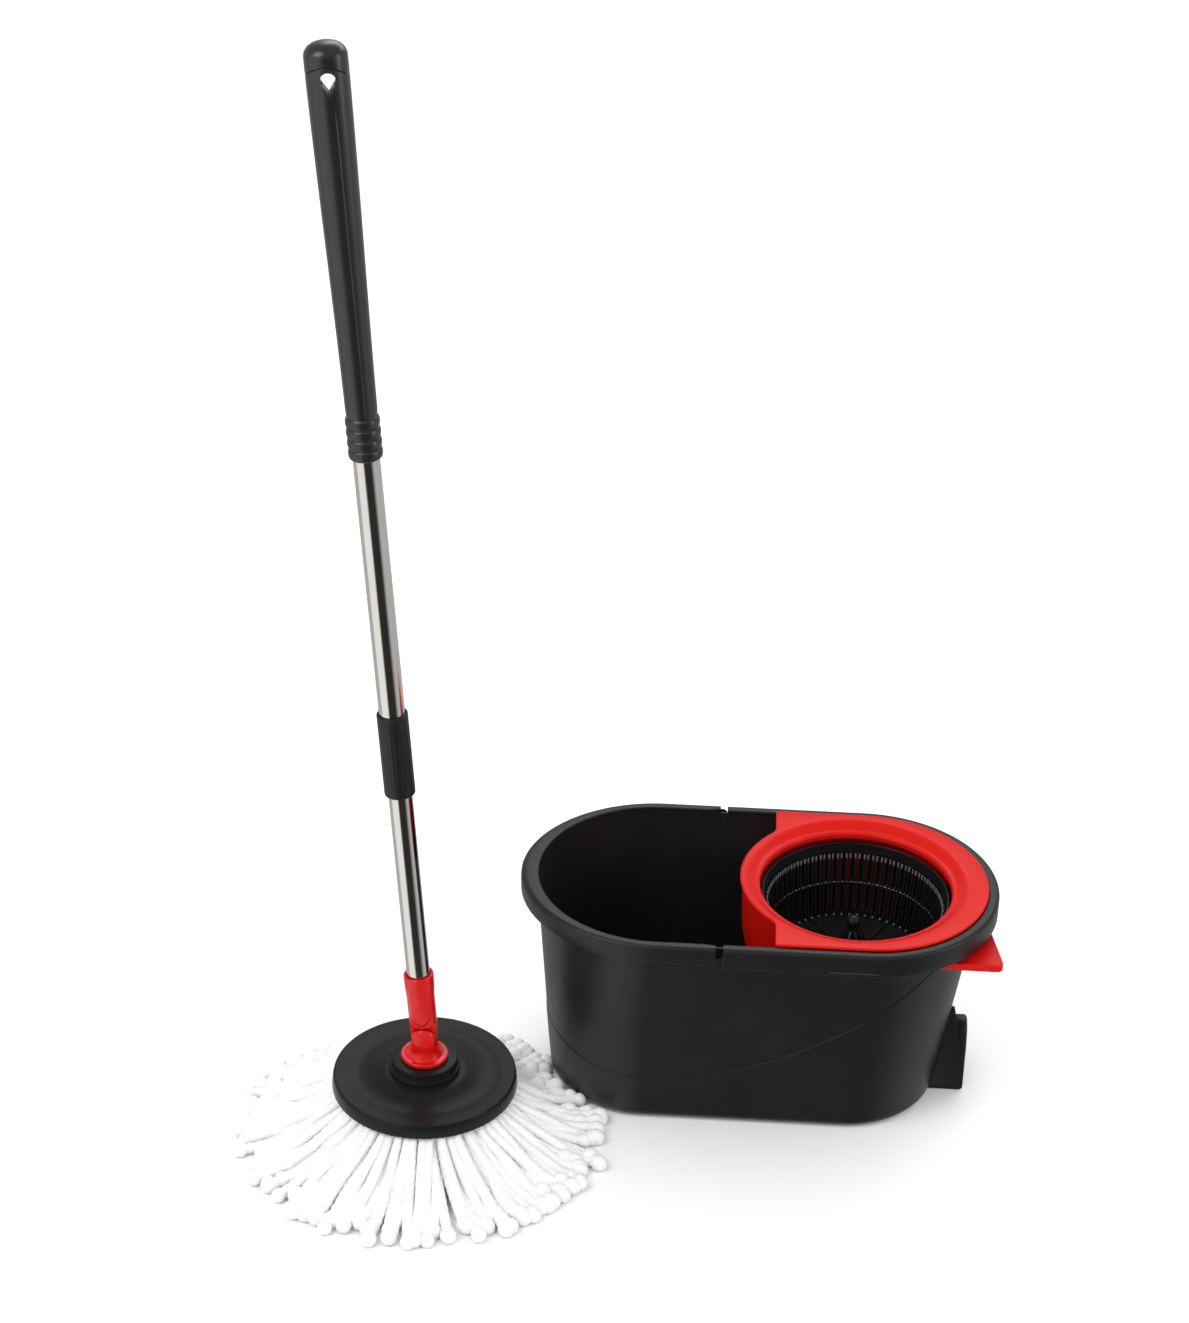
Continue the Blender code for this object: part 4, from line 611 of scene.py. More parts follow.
class Workshop:
    """Dresses pieces and hands them to the frame."""

    def __init__(self, finishes: Finishes) -> None:
        """Keep the finishes."""
        self.finishes = finishes

    def fit(
        self, piece: bpy.types.Object, body: Body, slot: str, *nodes: str, finish: str = ""
    ) -> bpy.types.Object:
        """Dress a piece and ride it on its body.

        Args:
            piece: the piece.
            body: the body it moves with.
            slot: its material slot.
            nodes: the CAD nodes that it stands for.
            finish: a finish other than the slot's own.

        Returns:
            The piece.
        """
        piece.data.materials.clear()
        piece.data.materials.append(self.finishes.of(finish or slot))
        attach(piece, body.value)
        if nodes:
            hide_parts(*nodes)
        log.info("%s rides on %s, %d faces", piece.name, body.value, len(piece.data.polygons))
        return piece

    def dress_nodes(self) -> None:
        """Give each CAD node that is still shown its slot's material."""
        for row in frame["record"]["subparts"]:
            node = frame["nodes"][row["node"]]
            if node.hide_render:
                continue
            node.data.materials.clear()
            node.data.materials.append(self.finishes.of(row["material_slot"]))
            log.info("%s keeps its CAD shape", node.name)


def joint(name: str) -> dict[str, object]:
    """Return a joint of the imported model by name."""
    return next(row for row in frame["joints"] if row["name"] == name)


# Bucket ----------------------------------------------------------------------------------------------
@dataclass(frozen=True)
class Oval:
    """An outline with straight sides along X and round ends."""

    left: float
    right: float
    half: float
    end_steps: int = 64
    side_steps: int = 40

    def grown(self, by: float) -> "Oval":
        """Return the oval moved outward all round."""
        return Oval(self.left - by, self.right + by, self.half + by, self.end_steps, self.side_steps)

    def toward(self, other: "Oval", share: float) -> "Oval":
        """Return an oval part of the way to another."""
        pairs = ((self.left, other.left), (self.right, other.right), (self.half, other.half))
        return Oval(*(low + (high - low) * share for low, high in pairs), self.end_steps, self.side_steps)

    def stations(self) -> list[tuple[float, float, float]]:
        """Return (left share, unit x, unit y) for each point, anticlockwise from the left end's rear."""
        found = []
        for step in range(self.end_steps + 1):
            angle = math.radians(90.0 + 180.0 * step / self.end_steps)
            found.append((1.0, math.cos(angle), math.sin(angle)))
        for step in range(1, self.side_steps):
            found.append((1.0 - step / self.side_steps, 0.0, -1.0))
        for step in range(self.end_steps + 1):
            angle = math.radians(-90.0 + 180.0 * step / self.end_steps)
            found.append((0.0, math.cos(angle), math.sin(angle)))
        for step in range(1, self.side_steps):
            found.append((step / self.side_steps, 0.0, 1.0))
        return found

    def at(self, station: tuple[float, float, float], height: float) -> Vector:
        """Return the point of a station at a height."""
        left_share, x, y = station
        low, high = self.left + self.half, self.right - self.half
        centre = high + (low - high) * left_share
        return Vector((centre + self.half * x, self.half * y, height))

    def at_all(self, height: float) -> list[Vector]:
        """Return the whole outline at a height."""
        return [self.at(station, height) for station in self.stations()]

    def end_path(
        self, side: float, start: float, height: float, tuck: Callable[[float], float]
    ) -> list[Vector]:
        """Points round one end, from start on the rear side to start on the front side.

        Args:
            side: 1 for the right end, -1 for the left.
            start: x where both sides begin.
            height: height of the points.
            tuck: extra outward shift at an x.

        Returns:
            The points.
        """
        centre = self.right - self.half if side > 0 else self.left + self.half
        steps = 12
        along = [start + (centre - start) * eased(0.5 * step / steps) * 2.0 for step in range(steps)]
        path = [Vector((x, (self.half + tuck(x)), height)) for x in along]
        for step in range(self.end_steps + 1):
            angle = math.radians(90.0 - 180.0 * step / self.end_steps)
            spot = (centre + side * self.half * math.cos(angle), self.half * math.sin(angle), height)
            path.append(Vector(spot))
        path += [Vector((x, -(self.half + tuck(x)), height)) for x in reversed(along)]
        return path


@dataclass
class Bucket:
    """Tapered tub with its rolled rim, and the half of the rim that swings up as a handle."""

    shop: Workshop
    wall: float = 0.0022
    floor: float = 0.003
    band: float = 0.0105
    skirt_wall: float = 0.0022
    skirt_drop: float = 0.023
    handle_skirt_drop: float = 0.019
    roll: float = 0.0042
    rim_thickness: float = 0.003
    ledge_drop: float = 0.0034
    neck_drop: float = 0.028
    base: Oval = field(default_factory=lambda: Oval(-0.2075, 0.1835, 0.0955))
    base_rounding: float = 0.012
    neck_insets: tuple[float, float, float] = (0.0105, 0.0215, 0.0145)
    rim_start: float = -0.0375
    swoosh_low: float = 0.054
    swoosh_from: float = -0.112
    swoosh_rise: float = 1.90
    swoosh_step: float = 0.0006
    crease_rows: tuple[tuple[float, float], ...] = (
        (-0.0024, 1.0), (-0.0009, 1.0), (-0.0003, 0.85), (0.0005, 0.15), (0.0012, 0.0), (0.003, 0.0)
    )
    handle_bulge: float = 0.006
    handle_relief: float = 0.0005
    edge_round: float = 0.0014
    tunnel: tuple[float, float, float, float] = (0.045, 0.158, 0.022, 0.083)
    channel_x: float = 0.187
    channel_y: tuple[float, float] = (0.0100, 0.0428)
    channel_top: float = 0.205
    channel_bottom: float = 0.0773
    stem_y: tuple[float, float] = (0.0100, 0.0289)
    lug_radius: float = 0.005
    lug_thickness: float = 0.004
    lug_length: float = 0.016
    seam_y: float = 0.013
    vent: tuple[float, float] = (0.064, 0.112)
    vent_rise: float = 0.0035
    vent_height: float = 0.0009

    def __post_init__(self) -> None:
        """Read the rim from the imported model."""
        _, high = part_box("bucket_shell")
        handle_low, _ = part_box("carry_handle")
        self.top = high.z
        self.rim = Oval(handle_low.x, high.x, high.y)
        self.inner = self.rim.grown(-self.band)
        left, right, side = self.neck_insets
        self.neck = Oval(self.rim.left + left, self.rim.right - right, self.rim.half - side)
        self.neck_z = self.top - self.neck_drop
        self.ledge_z = self.top - self.ledge_drop
        self.pivot = Vector(joint("handle_swing")["pos_m"])

    def section(self, height: float) -> Oval:
        """Return the wall's outer oval at a height."""
        if height >= self.neck_z:
            share = min(1.0, (height - self.neck_z) / (self.ledge_z - 0.006 - self.neck_z))
            return self.neck.toward(self.inner.grown(self.wall), share)
        if height >= self.base_rounding:
            return self.base.toward(
                self.neck, (height - self.base_rounding) / (self.neck_z - self.base_rounding)
            )
        rise = 1.0 - height / self.base_rounding
        return self.base.grown(-self.base_rounding * (1.0 - math.sqrt(max(0.0, 1.0 - rise * rise))))

    def swoosh(self, x: float) -> float:
        """Return the height of the long curved crease at an x."""
        return min(self.neck_z + 0.004, self.swoosh_low + self.swoosh_rise * (x - self.swoosh_from) ** 2)

    def wall_rings(self) -> list[list[Vector]]:
        """Rings up the outside of the wall, with rows that follow the crease, and down the inside."""
        stations = self.base.stations()
        middle = self.section((self.neck_z + self.base_rounding) / 2)
        creases = [self.swoosh(middle.at(station, 0.0).x) for station in stations]
        rings = []
        rounding = [self.base_rounding * (1.0 - math.cos(math.radians(a))) for a in range(0, 91, 10)]
        for height in rounding:
            rings.append([self.section(height).at(s, height) for s in stations])
        start = self.base_rounding

        def row(pick: Callable[[float], tuple[float, float]]) -> list[Vector]:
            """Return a row from each column's crease height, as (height, outward) pairs."""
            points = []
            for station, crease in zip(stations, creases):
                height, outward = pick(crease)
                points.append(self.section(height).grown(outward).at(station, height))
            return points

        step = self.swoosh_step
        for share in (0.08, 0.5, 0.85):
            rings.append(row(lambda c, s=share: (start + (c - 0.004 - start) * s, step * eased(s * 3.0))))
        for offset, outward in self.crease_rows:
            rings.append(row(lambda c, o=offset, u=outward: (c + o, step * u)))
        high = self.neck_z + 0.012
        for share in (0.15, 0.4, 0.7, 1.0):
            rings.append(row(lambda c, s=share: (c + 0.003 + (high - c - 0.003) * s, 0.0)))
        for height in (self.ledge_z - 0.0008, self.ledge_z):
            inset = 0.0 if height < self.ledge_z else -0.0006
            rings.append([self.section(height).grown(inset).at(s, height) for s in stations])
        inside = [self.ledge_z, self.ledge_z - 0.006, self.neck_z, 0.14, 0.08, 0.03, self.base_rounding]
        for height in inside:
            rings.append([self.section(height).grown(-self.wall).at(s, height) for s in stations])
        for turn in range(20, 91, 14):
            lift = self.base_rounding - (self.base_rounding - self.floor) * math.sin(math.radians(turn))
            inset = -self.wall - (self.base_rounding - self.floor) * (1.0 - math.cos(math.radians(turn)))
            rings.append([self.base.grown(inset).at(s, lift) for s in stations])
        return rings

    def rim_section(self, skirt_drop: float, root_drop: float) -> Outline:
        """Closed section of the rim as (outward, height) points.

        Args:
            skirt_drop: how far the skirt hangs below the top.
            root_drop: how far the inner edge reaches down.

        Returns:
            The section.
        """
        top, lip = self.top, self.skirt_wall / 2
        section = [(0.0, top - root_drop)]
        section += arc((self.edge_round, top - self.edge_round), self.edge_round, 180.0, 90.0, 4)
        section += [(self.band * 0.35, top + 0.0001)]
        section += arc((self.band - self.roll, top - self.roll), self.roll, 90.0, 0.0, 9)
        section += [(self.band, top - skirt_drop * 0.55)]
        section += arc((self.band - lip, top - skirt_drop + lip), lip, 0.0, -180.0, 6)
        section += [
            (self.band - self.skirt_wall, top - self.rim_thickness - 0.002),
            (self.band - self.skirt_wall - 0.002, top - self.rim_thickness),
        ]
        if root_drop > self.rim_thickness:
            section += [(self.wall, top - self.rim_thickness), (self.wall, top - root_drop)]
        return section

    def build_shell(self) -> None:
        """Build the tub, its fixed rim, the drive's tunnel and the stem's channel."""
        shell = Shape().skin(self.wall_rings()).piece("tub_wall")
        left, right, half, roof = self.tunnel
        y_low, y_high = self.channel_y
        cutter = Shape().block((left, -half, -0.002), (right, half, self.floor + 0.001))
        wide = self.rim.right
        cutter.block((self.channel_x, self.stem_y[0], -0.002), (wide, self.stem_y[1], self.channel_top))
        cutter.block(
            (self.channel_x, self.stem_y[1] - 0.001, self.channel_bottom), (wide, y_high, self.channel_top)
        )
        carved(shell, cutter, overlapping=True)
        self.shop.fit(shell, Body.BUCKET, "bucket_black", "bucket_shell")
        section = self.rim_section(self.skirt_drop, self.ledge_drop + 0.0012)
        rings = []
        for outward, height in section:
            rings.append(self.inner.grown(outward).end_path(1.0, self.rim_start, height, lambda x: 0.0))
        rim = Shape().skin(rings, looped=True, open_rings=True).piece("fixed_rim", 32.0)
        self.shop.fit(bevelled(rim, 0.0005, 2, 60.0), Body.BUCKET, "bucket_black")
        self.build_ducts(left, right, half, roof, y_low, y_high)
        # the vent slot is not cut: a thin dark strip in the seal rubber finish sits on the skirt's face, painted
        # shade of the slot
        slot_x, slot_z = self.vent, self.top - self.skirt_drop + self.vent_rise
        front = -self.rim.half
        groove = Shape().block(
            (slot_x[0], front - 0.0001, slot_z), (slot_x[1], front + 0.001, slot_z + self.vent_height)
        )
        self.shop.fit(groove.piece("skirt_vent_slot"), Body.BUCKET, "rubber_seal")

    def build_ducts(
        self, left: float, right: float, half: float, roof: float, y_low: float, y_high: float
    ) -> None:
        """Build the walls round the drive and the pedal's stem inside the tub.

        Args:
            left: the tunnel's left end.
            right: the tunnel's right end.
            half: the tunnel's half width.
            roof: the underside of its roof.
            y_low: front side of the channel.
            y_high: rear side of the channel.
        """
        w = self.wall
        duct = Shape()
        duct.block((left - w, -half - w, 0.001), (left, half + w, roof + w))
        duct.block((right, -half - w, 0.001), (right + 0.005, half + w, roof + w))
        for side in (-1.0, 1.0):
            low, high = sorted((side * half, side * (half + w)))
            duct.block((left - w, low, 0.001), (right + 0.005, high, roof + w))
        duct.block((left - w, -half - w, roof), (right + 0.005, half + w, roof + w))
        axis_x = joint("drive_turn")["pos_m"][0]
        bush = Shape().rod((axis_x, 0.0, roof - 0.01), (axis_x, 0.0, roof + 0.01), 0.0066)
        tunnel = carved(duct.piece("drive_tunnel"), bush, overlapping=True)
        self.shop.fit(bevelled(tunnel, 0.0006, 2), Body.BUCKET, "bucket_black")
        x = self.channel_x
        wall_z = (0.004, self.channel_top + w)
        end_x = self.section(self.neck_z).right - 0.001
        channel = Shape()
        channel.block((x - w, y_low - w, wall_z[0]), (x, y_high + w, wall_z[1]))
        for low in (y_low - w, y_high):
            outline = [(x - w, wall_z[0]), (self.base.right - 0.002, wall_z[0])]
            outline += [(end_x, wall_z[1]), (x - w, wall_z[1])]
            channel.prism(outline, low, low + w, ALONG_Y)
        channel.block((x - w, y_low - w, self.channel_top), (end_x, y_high + w, wall_z[1]))
        self.shop.fit(bevelled(channel.piece("stem_channel"), 0.0004, 2), Body.BUCKET, "bucket_black")

    def swell(self, outward: float) -> float:
        """Return how much further the handle's far end stands out, at a place across its band."""
        return self.handle_bulge * max(0.0, outward / self.band)

    def build_handle(self) -> None:
        """Build the swinging half of the rim with its two lugs."""
        start = joint("handle_swing")["pos_m"][0] - 0.002
        section = self.rim_section(self.handle_skirt_drop, self.rim_thickness)
        relief = self.wall + self.handle_relief
        rings = []
        for outward, height in section:
            def tuck(x: float, outward: float = outward) -> float:
                """Keep the band's inner edge off the wall near the pivots."""
                return max(0.0, relief - outward) * (1.0 - eased((start - x) / 0.010))

            path = self.inner.grown(outward).end_path(-1.0, start, height, tuck)
            centre = self.inner.left + self.inner.half
            for point in path:
                point.x -= self.swell(outward) * max(0.0, (centre - point.x) / self.inner.half) ** 2
            rings.append(path)
        handle = Shape().skin(rings, looped=True, open_rings=True)
        lugs = Shape()
        for side in (-1.0, 1.0):
            near = side * (self.inner.half + relief)
            far = near + side * self.lug_thickness
            x, z = self.pivot.x, self.pivot.z
            lugs.rod((x, near, z), (x, far, z), self.lug_radius)
            low, high = sorted((near, far))
            lugs.block(
                (x - self.lug_length, low + GAP, z - self.lug_radius + 0.0006),
                (x, high - GAP, self.top - 0.0031),
            )
        self.shop.fit(handle.piece("swing_handle", 32.0), Body.HANDLE, "bucket_black", "carry_handle")
        # the lugs wear the near-black pivot finish: painted shadow for the dark slot round the pivots
        self.shop.fit(lugs.piece("handle_lugs"), Body.HANDLE, "bucket_black", finish="pivot_painted_shadow")
        seam = Shape()
        for step in range(9):
            outward = self.band * (0.05 + 0.94 * step / 8)
            x = self.inner.left - outward - self.swell(outward)
            past = max(0.0, (outward - self.band + self.roll) / self.roll)
            z = self.top + 0.0001 - (self.roll * (1 - math.sqrt(max(0.0, 1 - past**2))))
            seam.block(
                (x - 0.0008, self.seam_y - 0.0004, z - 0.0006),
                (x + 0.0008, self.seam_y + 0.0004, z + 0.00005),
            )
        self.shop.fit(seam.piece("handle_seam"), Body.HANDLE, "rubber_seal")

    def build(self) -> None:
        """Build the tub and the handle."""
        self.build_shell()
        self.build_handle()


# Wringer ---------------------------------------------------------------------------------------------
@dataclass
class Wringer:
    """Red deck with a dished lip and drum, and the slotted basket that spins in it."""

    shop: Workshop
    columns: int = 256
    deck_inset: float = 0.0105
    deck_left: float = 0.012
    hole: float = 0.0947
    bulge: float = 0.115
    bulge_blend: float = 0.0045
    search_reach: float = 0.30
    search_steps: int = 26
    lip_roll: float = 0.0036
    deck_edge: tuple[tuple[float, float], ...] = (
        (0.0016, 0.0), (0.0009, 0.00015), (0.0003, 0.0006), (0.0, 0.0013), (0.0, 0.0022)
    )
    lip_width: float = 0.0175
    lip_drop: float = 0.0100
    lip_start: float = 0.0034
    lip_dish: float = 0.0064
    wall: float = 0.002
    drum_top: float = 0.1125
    drum_straight: float = 0.035
    drum_tuck: float = 0.028
    drum_low: float = 0.128
    foot_flange: float = 0.006
    ribs: int = 60
    spokes: int = 12
    fins: int = 8
    basket_top_radius: float = 0.0915
    basket_floor_radius: float = 0.0825
    ring_height: float = 0.0062
    band_height: float = 0.0100
    slot_width: float = 0.0025
    hoop_out: float = 0.0010
    hoop_round: float = 0.0004
    band_inside: float = 0.0004
    foot_half: float = 0.0017
    spoke_half: float = 0.0011
    fin_half: float = 0.0009
    rib_depth: float = 0.0034
    tooth_height: float = 0.0050
    mid_drop: float = 0.056
    rib_width: float = 0.0019
    post_base: float = 0.024
    post_neck: float = 0.0052
    ball: float = 0.0070
    ball_drop: float = 0.048
    clutch_radius: float = 0.0146

    def __post_init__(self) -> None:
        """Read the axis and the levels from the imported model."""
        _, rim_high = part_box("bucket_shell")
        self.rim_top = rim_high.z
        self.rim = Oval(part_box("carry_handle")[0].x, rim_high.x, rim_high.y)
        self.deck_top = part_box("wringer_housing")[1].z
        self.axis = Vector(joint("basket_spin")["pos_m"])
        self.floor_z = self.axis.z
        self.basket_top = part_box("basket")[1].z

    def reach(self, angle: float) -> float:
        """Return the deck's outer edge along a ray from the wringer's axis."""
        deck = self.rim.grown(-self.deck_inset)
        x, y = math.cos(angle), math.sin(angle)
        low, high = 0.0, self.search_reach
        for _ in range(self.search_steps):
            middle = (low + high) / 2
            px, py = self.axis.x + middle * x, middle * y
            centre = deck.right - deck.half
            inside = abs(py) < deck.half and (px < centre or math.hypot(px - centre, py) < deck.half)
            low, high = (middle, high) if inside else (low, middle)
        plate = low
        if x < 0.0:
            plate = min(plate, (self.axis.x - self.deck_left) / -x)
        return blend_max(plate, self.bulge, self.bulge_blend)

    def build_housing(self) -> None:
        """Build the deck, lip and drum as one moulding."""
        top, under = self.deck_top, self.rim_top + GAP
        angles = [2.0 * math.pi * step / self.columns for step in range(self.columns)]
        edges = [self.reach(angle) for angle in angles]
        lip = []
        for step in range(13):
            share = step / 12
            out = self.hole + self.lip_start + (self.lip_width - self.lip_start) * share
            lip.append((out, top - self.lip_dish * (1.0 - eased(share**0.85))))
        roll = arc((self.hole + self.lip_roll, top - 0.0100), self.lip_roll, 180.0, 92.0, 8)
        inner_top = [(self.hole, self.rim_top - self.lip_drop)] + roll + lip
        straight_z = self.rim_top - self.drum_straight
        bowl = []
        for step in range(13):
            turn = math.radians(86.0 * step / 12)
            z = straight_z - (straight_z - self.drum_low) * math.sin(turn)
            bowl.append((self.drum_top - 0.001 - self.drum_tuck * (1.0 - math.cos(turn)), z))
        foot = bowl[-1][0]
        drum = [(self.drum_top, self.rim_top - 0.008)] + bowl + [
            (foot - self.foot_flange, bowl[-1][1]),
            (foot - self.foot_flange, bowl[-1][1] + self.wall),
        ]
        drum += [(r - self.wall, z + self.wall * 0.6) for r, z in reversed(bowl[1:-1])]
        drum += [
            (self.drum_top - self.wall, self.rim_top - 0.008),
            (self.drum_top - self.wall, under - 0.0002),
            (self.hole + 0.016, under - 0.0016),
            (self.hole + 0.0075, under - 0.0058),
            (self.hole + self.wall, under - 0.0078),
            (self.hole + self.wall, self.rim_top - self.lip_drop),
        ]

        def ring(radius: Callable[[float], float], height: float) -> list[Vector]:
            """Return a ring whose radius follows the deck's edge."""
            points = []
            for angle, edge in zip(angles, edges):
                r = radius(edge)
                points.append(Vector((self.axis.x + r * math.cos(angle), r * math.sin(angle), height)))
            return points

        rings = [ring(lambda e, r=r: r, z) for r, z in inner_top]
        rings.append(ring(lambda e: self.hole + self.lip_width + (e - self.hole - self.lip_width) * 0.5, top))
        for back, drop in self.deck_edge:
            rings.append(ring(lambda e, b=back: e - b, top - drop))
        rings.append(ring(lambda e: e - 0.0002, under))
        rings.append(ring(lambda e: min(e - 0.0012, self.drum_top + 0.0008), under - 0.0002))
        rings += [ring(lambda e, r=r: r, z) for r, z in drum]
        housing = Shape().skin(rings, looped=True).piece("wringer_deck", 38.0)
        notch = Shape().block(
            (self.axis.x + 0.040, 0.0048, self.drum_low - 0.01),
            (self.axis.x + 0.13, 0.048, self.rim_top - 0.0225),
        )
        self.shop.fit(carved(housing, notch), Body.BUCKET, "wringer_red", "wringer_housing")

    def wall_radius(self, height: float) -> float:
        """Return the basket wall's middle radius at a height."""
        share = (height - self.floor_z) / (self.basket_top - self.floor_z)
        return self.basket_floor_radius + (self.basket_top_radius - self.basket_floor_radius) * share

    def hoop(self, shape: Shape, low: float, high: float, inside: float, outside: float) -> None:
        """Add one of the basket's rings.

        Args:
            shape: the shape to add it to.
            low: its lower edge.
            high: its upper edge.
            inside: how far it reaches in from the wall's middle.
            outside: how far it reaches out.
        """
        round_by = self.hoop_round
        r_low, r_high = self.wall_radius(low), self.wall_radius(high)
        profile = [
            (r_high + outside - round_by, high),
            (r_high + outside, high - round_by),
            (r_low + outside, low + round_by),
            (r_low + outside - round_by, low),
            (r_low - inside + round_by, low),
            (r_low - inside, low + round_by),
            (r_high - inside, high - round_by),
            (r_high - inside + round_by, high),
        ]
        shape.turned(profile, 180, Matrix.Translation((self.axis.x, 0.0, 0.0)))

    def around(self, number: int, count: int) -> Matrix:
        """Return the frame of one of count places round the wringer's axis."""
        return Matrix.Translation((self.axis.x, 0, 0)) @ Matrix.Rotation(2 * math.pi * number / count, 4, "Z")

    def build_basket(self) -> None:
        """Build the hoops, the ribs between them, the floor and the clutch socket."""
        middle = self.rim_top - self.mid_drop
        shape = Shape()
        band_low = self.basket_top - self.band_height - 0.001
        self.hoop(shape, band_low, self.basket_top, self.band_inside, self.hoop_out)
        self.hoop(shape, middle - 0.0022, middle + 0.0022, self.hoop_out, self.hoop_out)
        self.hoop(shape, self.floor_z - 0.0005, self.floor_z + self.ring_height, 0.0008, self.hoop_out)
        low, high = self.floor_z + 0.0008, self.basket_top - self.band_height
        foot_half = self.foot_half
        teeth = Shape()
        for rib in range(self.ribs):
            turn = self.around(rib, self.ribs)
            rows = []
            for z in (low, high):
                r = self.wall_radius(z)
                w = (2.0 * math.pi * r / self.ribs - self.slot_width) / 2
                tip, root = r - self.rib_depth, r - 0.0002
                side = [(tip, w), (tip, w - self.rib_width * 0.8), (root, w - self.rib_width)]
                section = [(r + 0.0006, -w), (r + 0.0006, w)] + side + [(x, -y) for x, y in reversed(side)]
                rows.append([turn @ Vector((x, y, z)) for x, y in section])
            shape.skin(rows)
            r = self.wall_radius(high) - self.rib_depth
            for side in (-1.0, 1.0):
                edge = (w - 0.0002, w - self.rib_width + 0.0002)
                y_low, y_high = sorted((side * edge[0], side * edge[1]))
                teeth.block((r - 0.0008, y_low, high - self.tooth_height), (r + 0.0028, y_high, high), turn)
            r = self.wall_radius(low)
            shape.block((r - 0.0065, -foot_half, low), (r - 0.001, foot_half, low + 0.0026), turn)
            teeth.block((r - 0.0068, -0.0010, low + 0.0020), (r - 0.0052, 0.0010, low + 0.0031), turn)
        self.hoop(teeth, middle - 0.0006, middle + 0.0006, 0.0027, -0.0016)
        floor_profile = [
            (self.basket_floor_radius + 0.0004, self.floor_z + 0.0008),
            (self.basket_floor_radius + 0.0004, self.floor_z - 0.0010),
            (self.clutch_radius + 0.003, self.floor_z - 0.0010),
            (self.clutch_radius + 0.003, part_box("basket")[0].z + 0.0005),
            (self.clutch_radius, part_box("basket")[0].z),
            (self.clutch_radius, self.floor_z - 0.0012),
            (self.clutch_radius - 0.001, self.floor_z + 0.0008),
        ]
        shape.turned(floor_profile, 120, Matrix.Translation((self.axis.x, 0, 0)))
        for spoke in range(self.spokes):
            turn = self.around(spoke, self.spokes)
            shape.block(
                (self.post_base - 0.002, -self.spoke_half, self.floor_z),
                (self.basket_floor_radius - 0.005, self.spoke_half, self.floor_z + 0.0028),
                turn,
            )
        self.shop.fit(shape.piece("slotted_basket"), Body.BASKET, "basket_black", "basket")
        self.shop.fit(teeth.piece("rib_heads"), Body.BASKET, "basket_black", finish="grey_rib_heads")

    def build_post(self) -> None:
        """Build the finned centring cone with its ball tip."""
        place = Matrix.Translation((self.axis.x, 0.0, 0.0))
        ball = self.rim_top - self.ball_drop
        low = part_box("basket_post")[0].z
        meet = math.degrees(math.asin(self.post_neck / self.ball))
        profile = [(0.0, ball + self.ball)] + [
            (r, z) for r, z in arc((0.0, ball), self.ball, 80.0, -90.0 + meet, 14)
        ]
        profile += [
            (self.post_neck + 0.0014, ball - 0.012),
            (self.post_neck + 0.0050, low + 0.018),
            (self.post_neck + 0.0110, low + 0.0080),
            (self.post_base - 0.0040, low + 0.0038),
            (self.post_base, low + 0.0022),
            (self.post_base, low),
            (0.0, low),
        ]
        shape = Shape().turned(profile, 64, place)
        outline = [
            (0.002, ball - 0.006), (0.0078, ball - 0.010), (0.0225, low + 0.0042),
            (0.0225, low + 0.002), (0.002, low + 0.002),
        ]
        for fin in range(self.fins):
            turn = Matrix.Rotation(2 * math.pi * (fin + 0.5) / self.fins, 4, "Z")
            shape.prism(outline, -self.fin_half, self.fin_half, place @ turn @ ALONG_Y)
        self.shop.fit(shape.piece("centring_cone"), Body.BASKET, "basket_black", "basket_post")

    def build(self) -> None:
        """Build the housing, the basket and the cone."""
        self.build_housing()
        self.build_basket()
        self.build_post()


